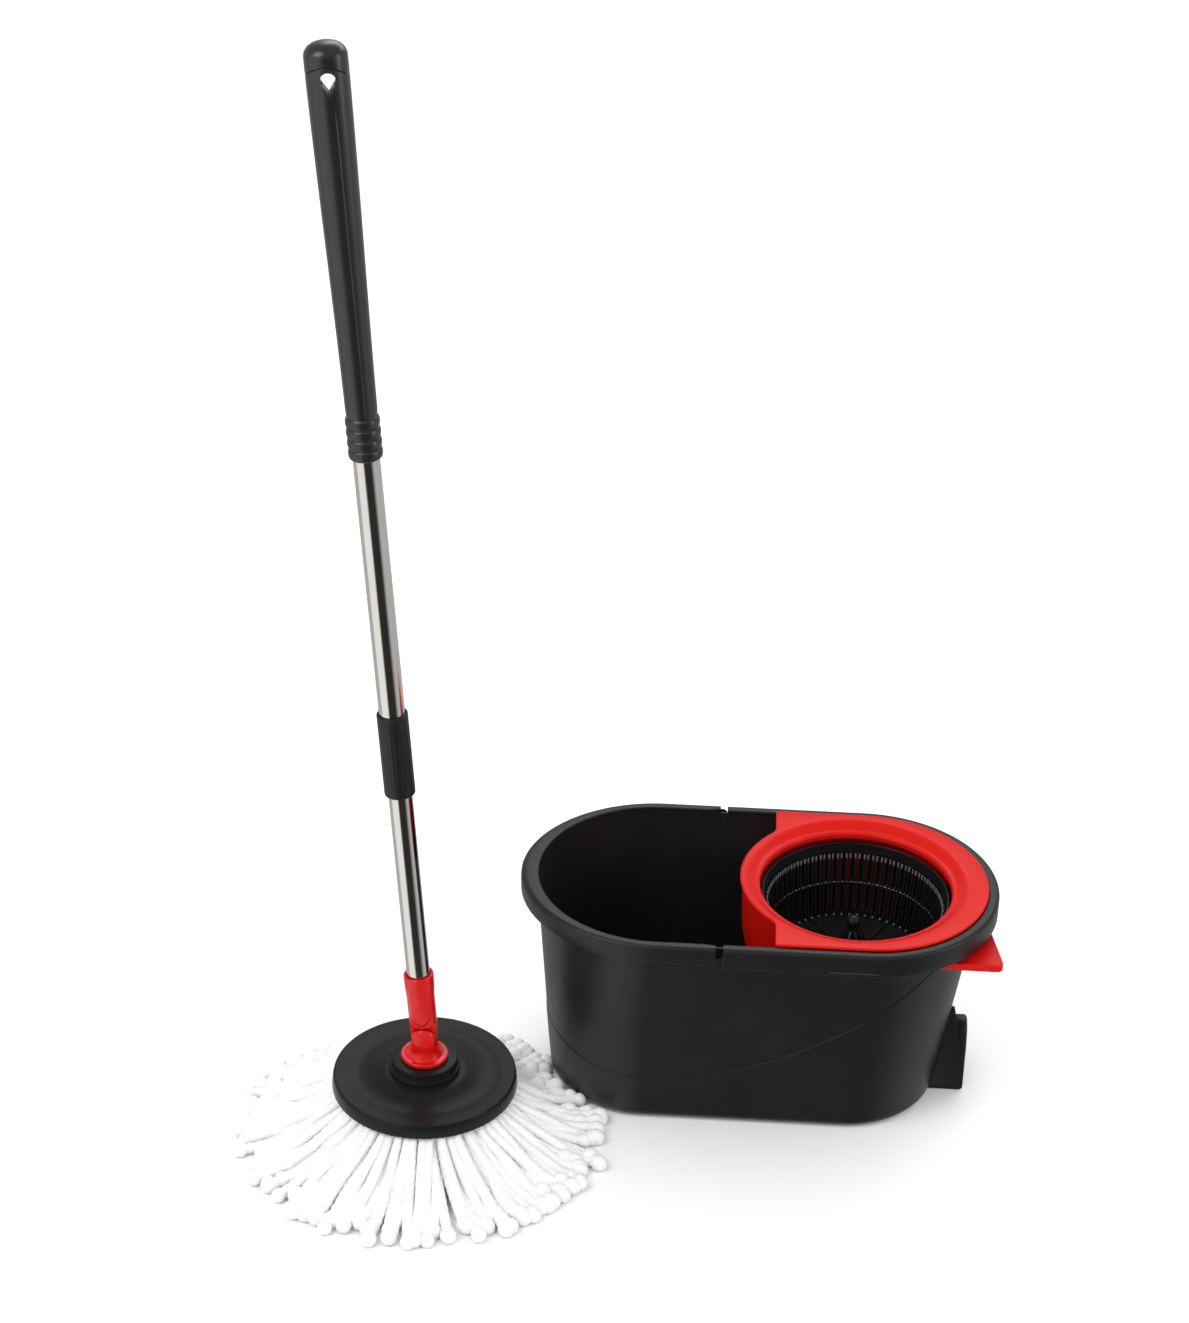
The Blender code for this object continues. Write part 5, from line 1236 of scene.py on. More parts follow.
# Pedal -----------------------------------------------------------------------------------------------
@dataclass
class Pedal:
    """Red foot plate with its racked stem, and the black block at the foot of its channel."""

    shop: Workshop
    bucket: Bucket
    thickness: float = 0.008
    front_y: float = -0.0910
    corner_x: float = 0.2350
    rear: tuple[float, float] = (0.2130, 0.0430)
    rounding: float = 0.0080
    wall_gap: float = 0.0020
    travel: float = 0.055
    pitch_radius: float = 0.012
    teeth: int = 10
    addendum: float = 0.0014
    dedendum: float = 0.0018
    root_share: float = 0.26
    tip_share: float = 0.12
    stem_x: tuple[float, float] = (0.1885, 0.1965)
    stem_depth: float = 0.0130
    lug_z: float = 0.150
    lug_reach: float = 0.0135
    lug_height: float = 0.006
    foot_wall: float = 0.003
    well_x: float = 0.2000
    well_rear: float = 0.0460
    cover_radius: float = 0.0168
    cover_back: float = 0.020
    cover_front: float = 0.052
    apex: tuple[float, float] = (0.1985, 0.1865)
    foot_top: float = 0.077
    foot_overlap: float = 0.030
    gusset_wall: float = 0.004

    def outline(self, top: float) -> Outline:
        """Return the plate's outline: straight outer edges and an inner edge along the bucket's wall."""
        wall = self.bucket.section(top).grown(self.wall_gap)
        centre = wall.right - wall.half
        points = [(centre + math.sqrt(wall.half**2 - self.front_y**2), self.front_y)]
        corner = Vector((self.corner_x, self.front_y))
        slope = (Vector(self.rear) - corner).normalized()
        before, after = corner - Vector((self.rounding, 0.0)), corner + slope * self.rounding
        for step in range(13):
            share = step / 12
            spot = before.lerp(corner, share).lerp(corner.lerp(after, share), share)
            points.append((spot.x, spot.y))
        points.append(self.rear)
        start, end = math.asin(self.rear[1] / wall.half), math.asin(self.front_y / wall.half)
        for step in range(40):
            angle = start + (end - start) * step / 40
            points.append((centre + wall.half * math.cos(angle), wall.half * math.sin(angle)))
        return points

    def build_plate(self) -> None:
        """Build the plate, stem, rack and spring lug."""
        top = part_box("pedal")[1].z
        plate = Shape().prism(self.outline(top), top - self.thickness, top).piece("foot_plate")
        self.shop.fit(bevelled(plate, 0.0021, 4), Body.PEDAL, "wringer_red", "pedal")
        pinion_z = joint("pinion_turn")["pos_m"][2]
        rack_y = self.pitch_radius + GAP + self.dedendum
        back_y = rack_y + self.stem_depth
        pitch = 2.0 * math.pi * self.pitch_radius / self.teeth
        side = [(back_y, top - 0.001), (back_y, pinion_z), (rack_y, pinion_z)]
        reach = rack_y - self.addendum - self.dedendum
        for tooth in range(int((self.travel + 0.5 * pitch) / pitch) + 1):
            middle = pinion_z + (tooth + 0.5) * pitch
            side += [(rack_y, middle - self.root_share * pitch), (reach, middle - self.tip_share * pitch)]
            side += [(reach, middle + self.tip_share * pitch), (rack_y, middle + self.root_share * pitch)]
        side.append((rack_y, top - 0.001))
        stem = Shape().prism(side, *self.stem_x, ALONG_X)
        stem.block(
            (self.stem_x[0], back_y - 0.001, self.lug_z),
            (self.stem_x[1], back_y + self.lug_reach, self.lug_z + self.lug_height),
        )
        reach_x = self.bucket.section(top).right + self.wall_gap + 0.001
        stem.block((self.stem_x[0], rack_y, top - self.thickness), (reach_x, back_y, top - 0.0005))
        self.shop.fit(bevelled(stem.piece("racked_stem"), 0.0003, 1), Body.PEDAL, "wringer_red")

    def build_foot(self) -> None:
        """Build the block at the foot of the channel and its gusset."""
        low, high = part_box("foot_housing")
        outer_x = high.x - 0.002
        block_top = self.foot_top
        x_in = self.bucket.base.right - self.foot_overlap
        wall_heights = (-0.001, 0.0015, 0.004, 0.008, 0.012, 0.07, 0.14)

        def tub() -> Shape:
            """Return the tub's outside as a solid, a little proud."""
            return Shape().skin(
                [self.bucket.section(max(z, 0.0)).grown(GAP).at_all(z) for z in wall_heights]
            )

        front, rear = low.y + 0.0010, self.well_rear
        well = Shape().block((x_in, front, low.z), (self.well_x, rear, block_top)).piece("channel_foot")
        carved(bevelled(well, 0.0015, 3), tub())
        room = (self.well_x - 0.0015, rear - 0.0015, block_top - self.foot_wall)
        carved(well, Shape().block((x_in - 0.01, front + 0.004, -0.001), room))
        self.shop.fit(well, Body.BUCKET, "bucket_black", "foot_housing")
        axis_z = joint("pinion_turn")["pos_m"][2]

        def hump(inset: float) -> Outline:
            """Return the cover's side: high over the pinion and sloping down behind."""
            over = arc((0.0, axis_z), self.cover_radius - inset, 25.0, 155.0, 14)
            foot_z = low.z - (0.002 if inset else 0.0)
            rear_side = [(high.y - inset, foot_z), (high.y - inset, self.cover_back - inset)]
            return rear_side + over + [(front + inset, self.cover_front), (front + inset, foot_z)]

        cover = Shape().prism(hump(0.0), x_in, outer_x, ALONG_X).piece("foot_cover")
        carved(bevelled(cover, 0.0026, 3, 30.0), tub())
        carved(cover, Shape().prism(hump(self.foot_wall), x_in - 0.01, outer_x - self.foot_wall, ALONG_X))
        self.shop.fit(cover, Body.BUCKET, "bucket_black")
        side = [
            (x_in, low.z), (outer_x - 0.003, low.z), (outer_x - 0.0004, 0.0030), (outer_x - 0.0004, 0.0250)
        ]
        side += [(self.apex[0], high.z), (self.apex[1], high.z), (x_in, block_top)]
        gusset = Shape().prism(side, low.y, low.y + self.gusset_wall, ALONG_Y).piece("foot_gusset")
        carved(gusset, tub())
        self.shop.fit(bevelled(gusset, 0.0009, 2), Body.BUCKET, "bucket_black")

    def build(self) -> None:
        """Build the plate and the foot."""
        self.build_plate()
        self.build_foot()


# Mop -------------------------------------------------------------------------------------------------
@dataclass
class MopHead:
    """Black disc with its hub, and the white strands spread round it on the floor."""

    shop: Workshop
    columns: int = 270
    skirt_waves: int = 90
    wave_depth: float = 0.00035
    dish: float = 0.0013
    spread: float = 0.1825
    shift_y: float = -0.020
    thick: float = 0.0057
    thin: float = 0.0045
    knob: float = 0.0078
    sides: int = 12
    rear_trim: float = 0.15
    bucket_gap: float = 0.004
    fan_scatter: float = 0.028
    sway: float = 0.0042
    curl: float = 0.0026
    ripple: float = 0.0016
    step_length: float = 0.0030
    knob_steps: int = 7
    seed: int = 41
    layers: tuple[tuple[int, float, float, float], ...] = (
        (66, 0.0400, 0.92, 1.00),
        (62, 0.0330, 0.87, 0.99),
        (54, 0.0250, 0.80, 0.95),
    )

    def __post_init__(self) -> None:
        """Read the disc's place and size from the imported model."""
        low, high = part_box("mop_disc")
        self.centre = Vector(((low.x + high.x) / 2, (low.y + high.y) / 2, 0.0))
        self.radius = (high.x - low.x) / 2
        self.skirt_z = low.z
        self.crown_z = high.z
        self.shoulder_z = self.crown_z - 0.004
        self.place = Matrix.Translation(self.centre)
        self.random = random.Random(self.seed)

    def build_disc(self) -> None:
        """Build the dished disc with its rolled edge and scalloped skirt."""
        r, top = self.radius, self.shoulder_z
        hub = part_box("hub_cap")[1].x - self.centre.x
        profile = [(0.0125, self.crown_z), (hub + 0.003, self.crown_z)]
        profile += [(hub + 0.008, self.crown_z - 0.0006), (r * 0.55, top - self.dish * 0.2)]
        profile += [
            (r * 0.70, top - self.dish), (r * 0.76, top - self.dish * 1.05), (r * 0.80, top - self.dish * 0.6)
        ]
        profile += [(r * 0.88, top - self.dish * 0.25), (r - 0.0042, top - 0.0001)]
        profile += arc((r - 0.0030, top - 0.0018), 0.0018, 90.0, 20.0, 5)
        profile += [(r - 0.0006, top - 0.0042), (r, self.skirt_z + 0.0035), (r, self.skirt_z)]
        profile += [
            (r - 0.0024, self.skirt_z), (r - 0.0032, top - 0.0055), (r * 0.62, top - self.dish - 0.0025)
        ]
        profile += [(hub + 0.003, self.crown_z - 0.0025), (0.0125, self.crown_z - 0.0025)]

        def scallop(angle: float, radius: float, height: float) -> tuple[float, float]:
            """Wave the skirt's lower edge."""
            low = max(0.0, 1.0 - (height - self.skirt_z) / 0.002)
            return radius, height + low * self.wave_depth * (1.0 + math.sin(angle * self.skirt_waves))

        disc = Shape().turned(profile, self.columns, self.place, scallop).piece("dished_disc", 40.0)
        self.shop.fit(disc, Body.HEAD, "disc_black", "mop_disc")

    def build_hub(self) -> None:
        """Build the two-step boss."""
        low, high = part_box("hub_cap")
        outer = high.x - self.centre.x
        step, top, step_z, foot = outer - 0.0025, high.z, high.z - 0.0085, self.crown_z + GAP
        profile = [(0.0083, top), (step - 0.012, top), (step - 0.0110, top)]
        profile += arc((step - 0.0010, top - 0.0010), 0.0010, 90.0, 0.0, 4)
        profile += [(step, step_z + 0.0012), (step + 0.0003, step_z + 0.0004), (outer - 0.0012, step_z)]
        profile += arc((outer - 0.0009, step_z - 0.0009), 0.0009, 90.0, 0.0, 4)
        profile += [
            (outer, foot + 0.0004), (outer - 0.0004, foot), (0.012, foot), (0.012, low.z), (0.0083, low.z)
        ]
        hub = Shape().turned(profile, 128, self.place).piece("stepped_hub", 38.0)
        self.shop.fit(hub, Body.HEAD, "disc_black", "hub_cap")

    def edge(self, angle: float) -> float:
        """Return how far the strands reach from the disc's axis at an angle."""
        heading = Vector((math.cos(angle), math.sin(angle)))
        along = heading.y * self.shift_y
        reach = along + math.sqrt(along * along + self.spread**2 - self.shift_y**2)
        reach *= 1.0 - self.rear_trim * eased((heading.y - 0.15) / 0.7)
        x_out = self.bucket_end.x - self.centre.x
        y_out = self.bucket_end.y - self.centre.y
        toward = heading.x * x_out + heading.y * y_out
        if toward > 0.0:
            off_square = x_out**2 + y_out**2 - toward**2
            if off_square < self.bucket_round**2:
                reach = min(reach, toward - math.sqrt(self.bucket_round**2 - off_square))
        return reach

    def strand(self, shape: Shape, angle: float, start_z: float, length: float, slim: float) -> None:
        """Add one looped strand with a knob at its end.

        Args:
            shape: the shape to add it to.
            angle: where it leaves the disc.
            start_z: height where it leaves the ring.
            length: share of the full reach.
            slim: share of the full thickness.
        """
        draw = self.random
        start_r = self.radius - 0.011 + draw.uniform(-0.002, 0.002)
        fan = angle + draw.gauss(0.0, self.fan_scatter)
        reach = self.edge(fan) * length - self.knob * 0.6
        run = reach - start_r
        sway = draw.gauss(0.0, self.sway)
        curl = draw.gauss(0.0, self.curl)
        phase = draw.uniform(0.0, 6.28)
        fall = draw.uniform(1.5, 2.1)
        steps = max(12, int(run / self.step_length))
        knob = self.knob * draw.uniform(0.88, 1.08)
        rings = []
        path = []
        widths = []
        for step in range(steps + 1):
            t = step / steps
            swell = self.thin + (self.thick - self.thin) * eased(t * 2.2)
            lump = 1.0 + 0.06 * math.sin(phase + t * run * 700.0) + draw.uniform(-0.02, 0.02)
            width = swell * slim * lump
            r = start_r + run * t
            side = sway * eased(t) + curl * math.sin(phase + t * 5.5) * t
            spread_angle = angle + (fan - angle) * t
            heading = Vector((math.cos(spread_angle), math.sin(spread_angle), 0.0))
            across = Vector((-heading.y, heading.x, 0.0))
            rest = self.thick * slim
            ripple = self.ripple * math.sin(phase * 2.0 + t * 7.0) * t * (1 - t) * 3.0
            z = rest + (start_z - rest) * (1.0 - t) ** fall + ripple
            path.append(self.centre + heading * r + across * side + Vector((0.0, 0.0, max(z, width))))
            widths.append(width)
        ahead = (path[-1] - path[-2]).normalized()
        last = path[-1]
        for step in range(1, self.knob_steps + 1):
            turn = math.radians(25.0 + 150.0 * step / self.knob_steps)
            width = knob * math.sin(turn) + 0.0002
            path.append(
                last + ahead * knob * (0.9 - math.cos(turn)) + Vector((0.0, 0.0, (knob - self.thick) * 0.6))
            )
            widths.append(width)
        for index, (spot, width) in enumerate(zip(path, widths)):
            before, after = path[max(0, index - 1)], path[min(len(path) - 1, index + 1)]
            along = (after - before).normalized()
            right = along.cross(Vector((0.0, 0.0, 1.0))).normalized()
            up = right.cross(along)
            ring = []
            for side in range(self.sides):
                turn = 2.0 * math.pi * side / self.sides
                rough = width * (1.0 + draw.uniform(-0.025, 0.025))
                point = spot + (right * math.cos(turn) + up * math.sin(turn)) * rough
                point.z = max(point.z, 0.0004)
                ring.append(point)
            rings.append(ring)
        shape.skin(rings)

    def build_strands(self, bucket: Bucket) -> None:
        """Build the strands, layer by layer, and the sewn ring that they leave from."""
        base = bucket.section(0.03)
        self.bucket_end = Vector((base.left + base.half, 0.0, 0.0))
        self.bucket_round = base.half + self.bucket_gap
        shape = Shape()
        for count, start_z, shortest, longest in self.layers:
            offset = self.random.uniform(0.0, 1.0)
            for number in range(count):
                angle = 2.0 * math.pi * (number + offset + self.random.uniform(-0.28, 0.28)) / count
                length = self.random.uniform(shortest, longest)
                self.strand(shape, angle, start_z, length, self.random.uniform(0.88, 1.06))
        inner, outer = self.radius - 0.030, self.radius - 0.006
        shape.turned(
            [(outer, 0.0455), (outer, 0.012), (inner, 0.003), (inner - 0.01, 0.0465)], 120, self.place
        )
        fringe = shape.piece("chenille_strands", 180.0)
        self.shop.fit(fringe, Body.HEAD, "microfibre", "fringe")

    def build(self, bucket: Bucket) -> None:
        """Build the disc, the hub and the strands."""
        self.build_disc()
        self.build_hub()
        self.build_strands(bucket)


@dataclass
class Pole:
    """Red swivel and ferrule, two steel tubes, the lock sleeve and the dark grip."""

    shop: Workshop
    flange: float = 0.0233
    flange_thickness: float = 0.0045
    neck: float = 0.0142
    neck_side: float = 0.0130
    flare: float = 0.0030
    flare_height: float = 0.0145
    axle: float = 0.0080
    ear: float = 0.0132
    slot_half: float = 0.0085
    pin: float = 0.0033
    ferrule: float = 0.0147
    ferrule_start: float = 0.0145
    ferrule_end: float = 0.0735
    screw_at: float = 0.0460
    panel_half: float = 0.0098
    panel_rise: float = 0.0085
    panel_depth: float = 0.0010
    tongue_half: float = 0.0082
    tongue_radius: float = 0.0122
    lower_tube: float = 0.0114
    upper_tube: float = 0.0123
    tube_wall: float = 0.0006
    lower_span: tuple[float, float] = (0.0240, 0.5600)
    upper_span: tuple[float, float] = (0.3050, 0.7000)
    sleeve: float = 0.0147
    sleeve_round: float = 0.0014
    flutes: float = 24.0
    flute_depth: float = 0.00022
    sleeve_span: tuple[float, float] = (0.2790, 0.3660)
    grip_span: tuple[float, float] = (0.6270, 0.9770)
    cap_end: float = 1.0040
    rings: int = 4
    ring_pitch: float = 0.0100
    ring_radius: float = 0.0156
    foot_radius: float = 0.0142
    head_radius: float = 0.0186
    hole_radius: float = 0.0066
    hole_drop: float = 0.0050
    hole_tip: float = 0.0120
    hole_slope: tuple[float, float] = (-0.16, 0.20)
    seam_arch: float = 0.0100
    crease_at: tuple[float, float] = (292.0, 112.0)
    crease_width: float = 0.045
    crease_depth: float = 0.0006
    dome: float = 0.0130

    def __post_init__(self) -> None:
        """Read the pole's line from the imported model's joints."""
        self.pivot = Vector(joint("pole_tilt")["pos_m"])
        along = Vector(joint("telescope")["axis"]).normalized()
        self.place = Matrix.Translation(self.pivot) @ Matrix.Rotation(math.atan2(along.x, along.z), 4, "Y")
        self.upright = Matrix.Translation((self.pivot.x, self.pivot.y, 0.0))

    def build_swivel(self) -> None:
        """Build the flange, its flared neck, and the two ears cut from the neck."""
        low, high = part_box("swivel_base")
        flange_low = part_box("hub_cap")[1].z + GAP
        flange_top = flange_low + self.flange_thickness
        start = flange_top + self.flare_height
        profile = [(0.0, high.z + 0.001), (self.neck, high.z + 0.001), (self.neck, start)]
        for step in range(1, 13):
            share = step / 12
            profile.append(
                (self.neck + self.flare * share**2.6, start - (self.flare_height - 0.0006) * share)
            )
        profile += [
            (self.neck + self.flare + 0.0010, flange_top + 0.0001), (self.flange - 0.0020, flange_top)
        ]
        profile += arc((self.flange - 0.0014, flange_top - 0.0012), 0.0014, 70.0, 0.0, 5)
        profile += [
            (self.flange, flange_low + 0.0010), (self.flange - 0.0008, flange_low), (self.axle, flange_low)
        ]
        profile += [(self.axle, low.z), (0.0, low.z)]

        def squared(angle: float, radius: float, height: float) -> tuple[float, float]:
            """Square the neck off towards its ears."""
            share = eased((height - flange_top) / self.flare_height)
            if radius < self.axle + 0.001 or share <= 0.0:
                return radius, height
            across, deep = abs(math.cos(angle)) / self.neck_side, abs(math.sin(angle)) / self.neck
            flat = (across**3.2 + deep**3.2) ** (-1.0 / 3.2)
            return radius + (flat - radius) * share, height

        swivel = Shape().turned(profile, 128, self.upright, squared).piece("swivel_neck", 42.0)
        pin_z = self.pivot.z
        waste = Shape()
        stand = self.upright @ ALONG_Y
        outline = [(-0.03, pin_z), (-self.ear, pin_z)] + arc((0.0, pin_z), self.ear, 180.0, 0.0, 28)[1:-1]
        outline += [(self.ear, pin_z), (0.03, pin_z), (0.03, high.z + 0.02), (-0.03, high.z + 0.02)]
        waste.prism(outline, -0.03, 0.03, stand)
        carved(swivel, waste)
        slot_low = pin_z - self.ear - 0.0005
        half = self.slot_half
        carved(swivel, Shape().block((-0.03, -half, slot_low), (0.03, half, high.z + 0.02), self.upright))
        x, y = self.pivot.x, self.pivot.y
        carved(swivel, Shape().rod((x, y - 0.0139, pin_z), (x, y + 0.0139, pin_z), self.pin))
        self.shop.fit(swivel, Body.SWIVEL, "ferrule_red", "swivel_base")

    def build_ferrule(self) -> None:
        """Build the ferrule with a raised tongue-shaped panel front and rear, and its tongue."""
        r, start, end = self.ferrule, self.ferrule_start, self.ferrule_end
        bore = self.lower_tube + GAP
        profile = [
            (0.0, self.lower_span[0] - GAP), (bore, self.lower_span[0] - GAP), (bore, end - 0.0004)
        ]
        profile += arc(((r + bore) / 2, end - (r - bore) / 2), (r - bore) / 2, 180.0, 0.0, 8)[1:]
        rows = 46
        profile += [
            (r, end - 0.0030 - (end - 0.0030 - start - 0.0012) * step / rows) for step in range(rows + 1)
        ]
        profile += [(r - 0.0012, start), (0.0, start)]

        def panel(angle: float, radius: float, height: float) -> tuple[float, float]:
            """Sink the sides and the foot, and leave the tongue-shaped panels proud."""
            if radius < bore + 0.001:
                return radius, height
            across = abs(math.cos(angle)) * r
            foot = start + 0.0050
            half = self.panel_half * math.sqrt(max(0.0, min(1.0, (height - foot) / self.panel_rise)))
            inside = eased((half - across) / 0.0009 + 0.5) if height > foot else 0.0
            fade = eased((end - 0.010 - height) / 0.020)
            return radius - self.panel_depth * (1.0 - inside) * fade, height

        ferrule = Shape().turned(profile, 144, self.place, panel).piece("ferrule_cup", 50.0)
        screw = self.place @ Vector((0.0, 0.03, self.screw_at))
        carved(ferrule, Shape().rod(self.place @ Vector((0, 0.004, self.screw_at)), screw, 0.0018, 24))
        self.shop.fit(ferrule, Body.LOWER_POLE, "ferrule_red", "ferrule")
        tongue_r = self.tongue_radius
        outline = arc((0.0, 0.0), tongue_r, 180.0, 360.0, 24) + [
            (tongue_r, start + 0.003), (-tongue_r, start + 0.003)
        ]
        tongue = Shape().prism(outline, -self.tongue_half, self.tongue_half, self.place @ ALONG_Y)
        eye = tongue.piece("ferrule_tongue", 42.0)
        ends = [self.place @ Vector((0.0, side * 0.02, 0.0)) for side in (-1.0, 1.0)]
        carved(eye, Shape().rod(ends[0], ends[1], self.pin))
        self.shop.fit(eye, Body.LOWER_POLE, "ferrule_red")

    def tube(self, name: str, radius: float, span: tuple[float, float], body: Body, node: str) -> None:
        """Build one steel tube.

        Args:
            name: the piece's name.
            radius: its outer radius.
            span: where it starts and ends along the pole.
            body: the body it moves with.
            node: the CAD node it stands for.
        """
        low, high = span
        wall = self.tube_wall
        rows = 8
        profile = [(radius - 0.0002, high), (radius, high - 0.0002)]
        profile += [(radius, high - (high - low) * step / rows) for step in range(1, rows)]
        profile += [
            (radius, low + 0.0002), (radius - 0.0002, low), (radius - wall, low), (radius - wall, high)
        ]
        self.shop.fit(Shape().turned(profile, 96, self.place).piece(name, 40.0), body, "pole_steel", node)

    def build_sleeve(self) -> None:
        """Build the twist sleeve with faint lengthwise flutes."""
        low, high = self.sleeve_span
        r, bore = self.sleeve, self.upper_tube + 0.0006
        profile = arc((r - self.sleeve_round, high - self.sleeve_round), self.sleeve_round, 90.0, 0.0, 5)
        rows = 20
        profile += [(r, high - 0.0022 - (high - low - 0.0044) * step / rows) for step in range(rows + 1)]
        profile += arc((r - self.sleeve_round, low + self.sleeve_round), self.sleeve_round, 0.0, -90.0, 5)
        collar = self.lower_tube + 0.0006
        profile += [(collar, low), (collar, low + 0.0022), (bore, low + 0.0022), (bore, high)]

        def flute(angle: float, radius: float, height: float) -> tuple[float, float]:
            """Press shallow flutes into the middle of the sleeve."""
            ends = eased((height - low - 0.010) / 0.006) * eased((high - 0.010 - height) / 0.006)
            if radius < bore + 0.0008:
                return radius, height
            return radius - self.flute_depth * ends * (0.5 + 0.5 * math.cos(angle * self.flutes)), height

        sleeve = Shape().turned(profile, 192, self.place, flute).piece("twist_sleeve", 40.0)
        self.shop.fit(sleeve, Body.LOCK_SLEEVE, "sleeve_black", "lock_sleeve")

    def grip_radius(self, distance: float) -> float:
        """Return the grip's radius at a distance along the pole."""
        low = self.grip_span[0] + self.rings * self.ring_pitch
        share = max(0.0, (distance - low) / (self.grip_span[1] - low))
        return self.foot_radius + (self.head_radius - self.foot_radius) * (0.55 * eased(share) + 0.45 * share)

    def build_grip(self) -> None:
        """Build the tapered grip with its stack of rings, crease and hanging hole, and the end cap."""
        low, high = self.grip_span
        rings_end = low + self.rings * self.ring_pitch
        head = self.grip_radius(high)
        profile = [(head * step / 6, high) for step in range(6)] + [
            (head - 0.0006, high), (head, high - 0.0006)
        ]
        rows = 60
        for step in range(1, rows):
            distance = high + (rings_end + 0.0014 - high) * step / rows
            profile.append((self.grip_radius(distance), distance))
        bulge = self.ring_radius - self.foot_radius
        for number in range(self.rings):
            top = rings_end - number * self.ring_pitch
            for step in range(11):
                share = step / 10
                swell = math.sin(math.pi * share) ** 0.45
                profile.append(
                    (self.foot_radius - 0.0004 + (bulge + 0.0004) * swell, top - share * self.ring_pitch)
                )
        bore = self.upper_tube + GAP
        profile += [(bore, low), (bore, self.upper_span[1] + GAP), (0.0, self.upper_span[1] + GAP)]

        def arch(angle: float, radius: float) -> float:
            """Return how far the seam under the cap rises at a place."""
            return self.seam_arch * (math.sin(angle) * min(1.0, radius / self.grip_radius(high))) ** 2

        def crease(angle: float, radius: float, height: float) -> tuple[float, float]:
            """Press the lengthwise crease along the grip's sides, and arch its top."""
            if height < rings_end + 0.004 or (radius < bore + 0.001 and height < high - 0.001):
                return radius, height
            off = min(abs(angle - math.radians(place)) for place in self.crease_at)
            groove = max(0.0, 1.0 - off / self.crease_width)
            lift = max(0.0, 1.0 - (high - height) / 0.012) * arch(angle, radius)
            return radius - self.crease_depth * groove * eased((high - 0.014 - height) / 0.02), height + lift

        grip = Shape().turned(profile, 240, self.place, crease).piece("tapered_grip", 40.0)
        hole_z = high - self.hole_drop
        touch = math.degrees(math.acos(self.hole_radius / self.hole_tip))
        drop = arc((0.0, hole_z), self.hole_radius, -90.0 + touch, 270.0 - touch, 28) + [
            (0.0, hole_z - self.hole_tip)
        ]
        aslant, down = self.hole_slope
        line = Matrix(((1, 0, aslant, 0), (0, 0, 1, 0), (0, 1, -down, 0), (0, 0, 0, 1)))
        carved(grip, Shape().prism(drop, -0.04, 0.04, self.place @ line))
        self.shop.fit(bevelled(grip, 0.0009, 3, 55.0), Body.UPPER_POLE, "grip_black", "grip")
        seat = high + GAP
        r = self.head_radius
        cap = [(0.0, self.cap_end)]
        for step in range(1, 19):
            angle = math.radians(90.0 * step / 18)
            cap.append(
                (r * math.sin(angle) ** 0.78, self.cap_end + self.dome * (math.cos(angle) ** 0.9 - 1.0))
            )
        cap += [(r, seat + 0.0008), (r - 0.0006, seat)] + [
            (r * step / 6, seat) for step in (5, 4, 3, 2, 1, 0)
        ]

        def seated(angle: float, radius: float, height: float) -> tuple[float, float]:
            """Arch the cap's lower edge to meet the grip."""
            return radius, height + max(0.0, 1.0 - (height - seat) / 0.012) * arch(angle, radius)

        dome = Shape().turned(cap, 192, self.place, seated).piece("domed_cap", 40.0)
        carved(dome, Shape().prism(drop, -0.04, 0.04, self.place @ line))
        self.shop.fit(bevelled(dome, 0.0006, 2, 55.0), Body.UPPER_POLE, "grip_black", "grip_cap")

    def build(self) -> None:
        """Build the pole from the floor up."""
        self.build_swivel()
        self.build_ferrule()
        self.tube("lower_steel_tube", self.lower_tube, self.lower_span, Body.LOWER_POLE, "lower_tube")
        self.tube("upper_steel_tube", self.upper_tube, self.upper_span, Body.UPPER_POLE, "upper_tube")
        self.build_sleeve()
        self.build_grip()


# Studio ----------------------------------------------------------------------------------------------
@dataclass(frozen=True)
class SoftBox:
    """A rectangular studio light."""

    name: str
    place: tuple[float, float, float]
    target: tuple[float, float, float]
    size: tuple[float, float]
    power: float

    def hang(self) -> bpy.types.Object:
        """Hang the light, facing its target."""
        lamp = bpy.data.lights.new(self.name, "AREA")
        lamp.shape = "RECTANGLE"
        lamp.size, lamp.size_y = self.size
        lamp.energy = self.power
        light = bpy.data.objects.new(self.name, lamp)
        bpy.context.scene.collection.objects.link(light)
        light.location = self.place
        heading = Vector(self.target) - Vector(self.place)
        light.rotation_euler = heading.to_track_quat("-Z", "Y").to_euler()
        return light


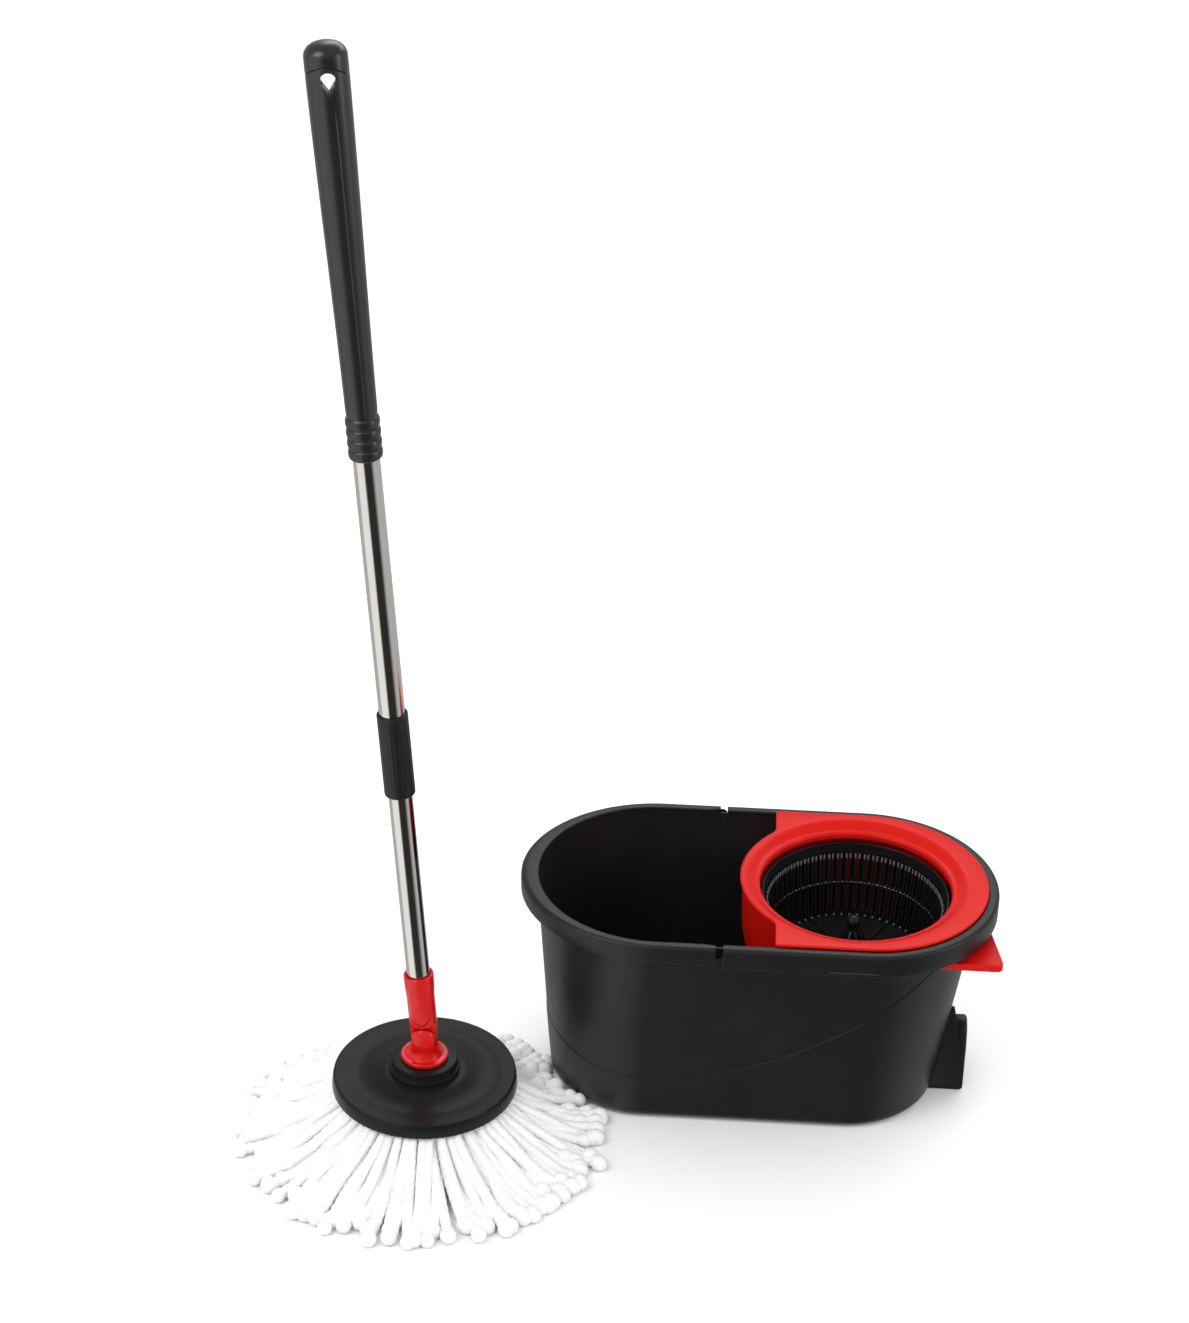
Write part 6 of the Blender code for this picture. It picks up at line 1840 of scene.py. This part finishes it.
@dataclass
class Studio:
    """Pale floor, soft light and the camera."""

    floor_half: float = 14.0
    world: float = 1.08
    right_panel: float = 0.55
    rear_panel: float = 0.50
    overhead_panel: float = 0.32
    dim: float = 0.03
    look_at: tuple[float, float, float] = (-0.200, 0.620, 0.120)
    distance: float = 3.571
    azimuth: float = 2.526
    elevation: float = 29.30
    roll: float = 1.435
    lens: float = 81.63
    boxes: tuple[SoftBox, ...] = (
        SoftBox("key_softbox", (-1.6, -1.3, 2.6), (0.0, 0.0, 0.2), (1.4, 1.4), 26.0),
        SoftBox("rear_softbox", (0.4, 2.0, 2.2), (0.0, 0.0, 0.2), (2.6, 1.0), 22.0),
        SoftBox("side_strip", (1.9, -0.6, 1.2), (0.0, 0.0, 0.3), (0.5, 1.8), 9.0),
    )

    def build_floor(self) -> None:
        """Lay the floor, which reflections don't see."""
        half = self.floor_half
        floor = Shape()
        corners = [
            Vector((x, y, 0.0)) for x, y in ((-half, -half), (half, -half), (half, half), (-half, half))
        ]
        floor.bm.faces.new([floor.bm.verts.new(corner) for corner in corners])
        ground = floor.piece("floor")
        ground.data.materials.append(Floor().material())
        ground.visible_glossy = False

    def light(self) -> None:
        """Set the world's even light and hang the lights."""
        world = bpy.data.worlds.new("studio_world")
        bpy.context.scene.world = world
        world.use_nodes = True
        bench = NodeBench(world.node_tree)
        heading = bench.node("ShaderNodeTexCoord", output="Generated")
        x, y, z = (bench.node("ShaderNodeSeparateXYZ", None, {0: heading}, axis) for axis in "XYZ")
        across = x * (x * x + y * y + 0.0001) ** -0.5
        front = (0.0 - y * 6.0).held()
        left = (across * -5.0 - 0.9).held()
        right = (across * 4.0 - 2.9).held()
        panels = (left + right * self.right_panel) * front + (1.0 - front) * self.rear_panel
        overhead = (z * 3.0 - 0.6).held()
        seen = panels * (1.0 - overhead) + overhead * self.overhead_panel + self.dim
        glossy = bench.node("ShaderNodeLightPath", output="Is Glossy Ray")
        strength = glossy * seen + (1.0 - glossy) * self.world
        bench.feed(world.node_tree.nodes["Background"].inputs["Color"], (1.0, 1.0, 1.0, 1.0))
        bench.feed(world.node_tree.nodes["Background"].inputs["Strength"], strength)
        for box in self.boxes:
            box.hang()
        bpy.context.scene.view_settings.view_transform = "Standard"

    def aim(self) -> None:
        """Stand the camera."""
        azimuth, elevation, roll = (math.radians(a) for a in (self.azimuth, self.elevation, self.roll))
        flat = math.cos(elevation)
        back = Vector((math.sin(azimuth) * flat, -math.cos(azimuth) * flat, math.sin(elevation)))
        right = Vector((math.cos(azimuth), math.sin(azimuth), 0.0))
        up = back.cross(right)
        turned_right = right * math.cos(roll) + up * math.sin(roll)
        turned_up = back.cross(turned_right)
        data = bpy.data.cameras.new("camera")
        data.lens = self.lens
        data.sensor_width = 36.0
        data.clip_end = 60.0
        camera = bpy.data.objects.new("camera", data)
        bpy.context.scene.collection.objects.link(camera)
        stand = Matrix((turned_right, turned_up, back)).transposed().to_4x4()
        stand.translation = Vector(self.look_at) + back * self.distance
        camera.matrix_world = stand
        bpy.context.scene.camera = camera

    def build(self) -> None:
        """Set the whole studio."""
        self.build_floor()
        self.light()
        self.aim()


def main() -> None:
    logging.basicConfig(level=logging.INFO, format="%(message)s")
    Studio().build()
    shop = Workshop(Finishes())
    bucket = Bucket(shop)
    bucket.build()
    Wringer(shop).build()
    Pedal(shop, bucket).build()
    MopHead(shop).build(bucket)
    Pole(shop).build()
    shop.dress_nodes()


if __name__ == "__main__":
    main()
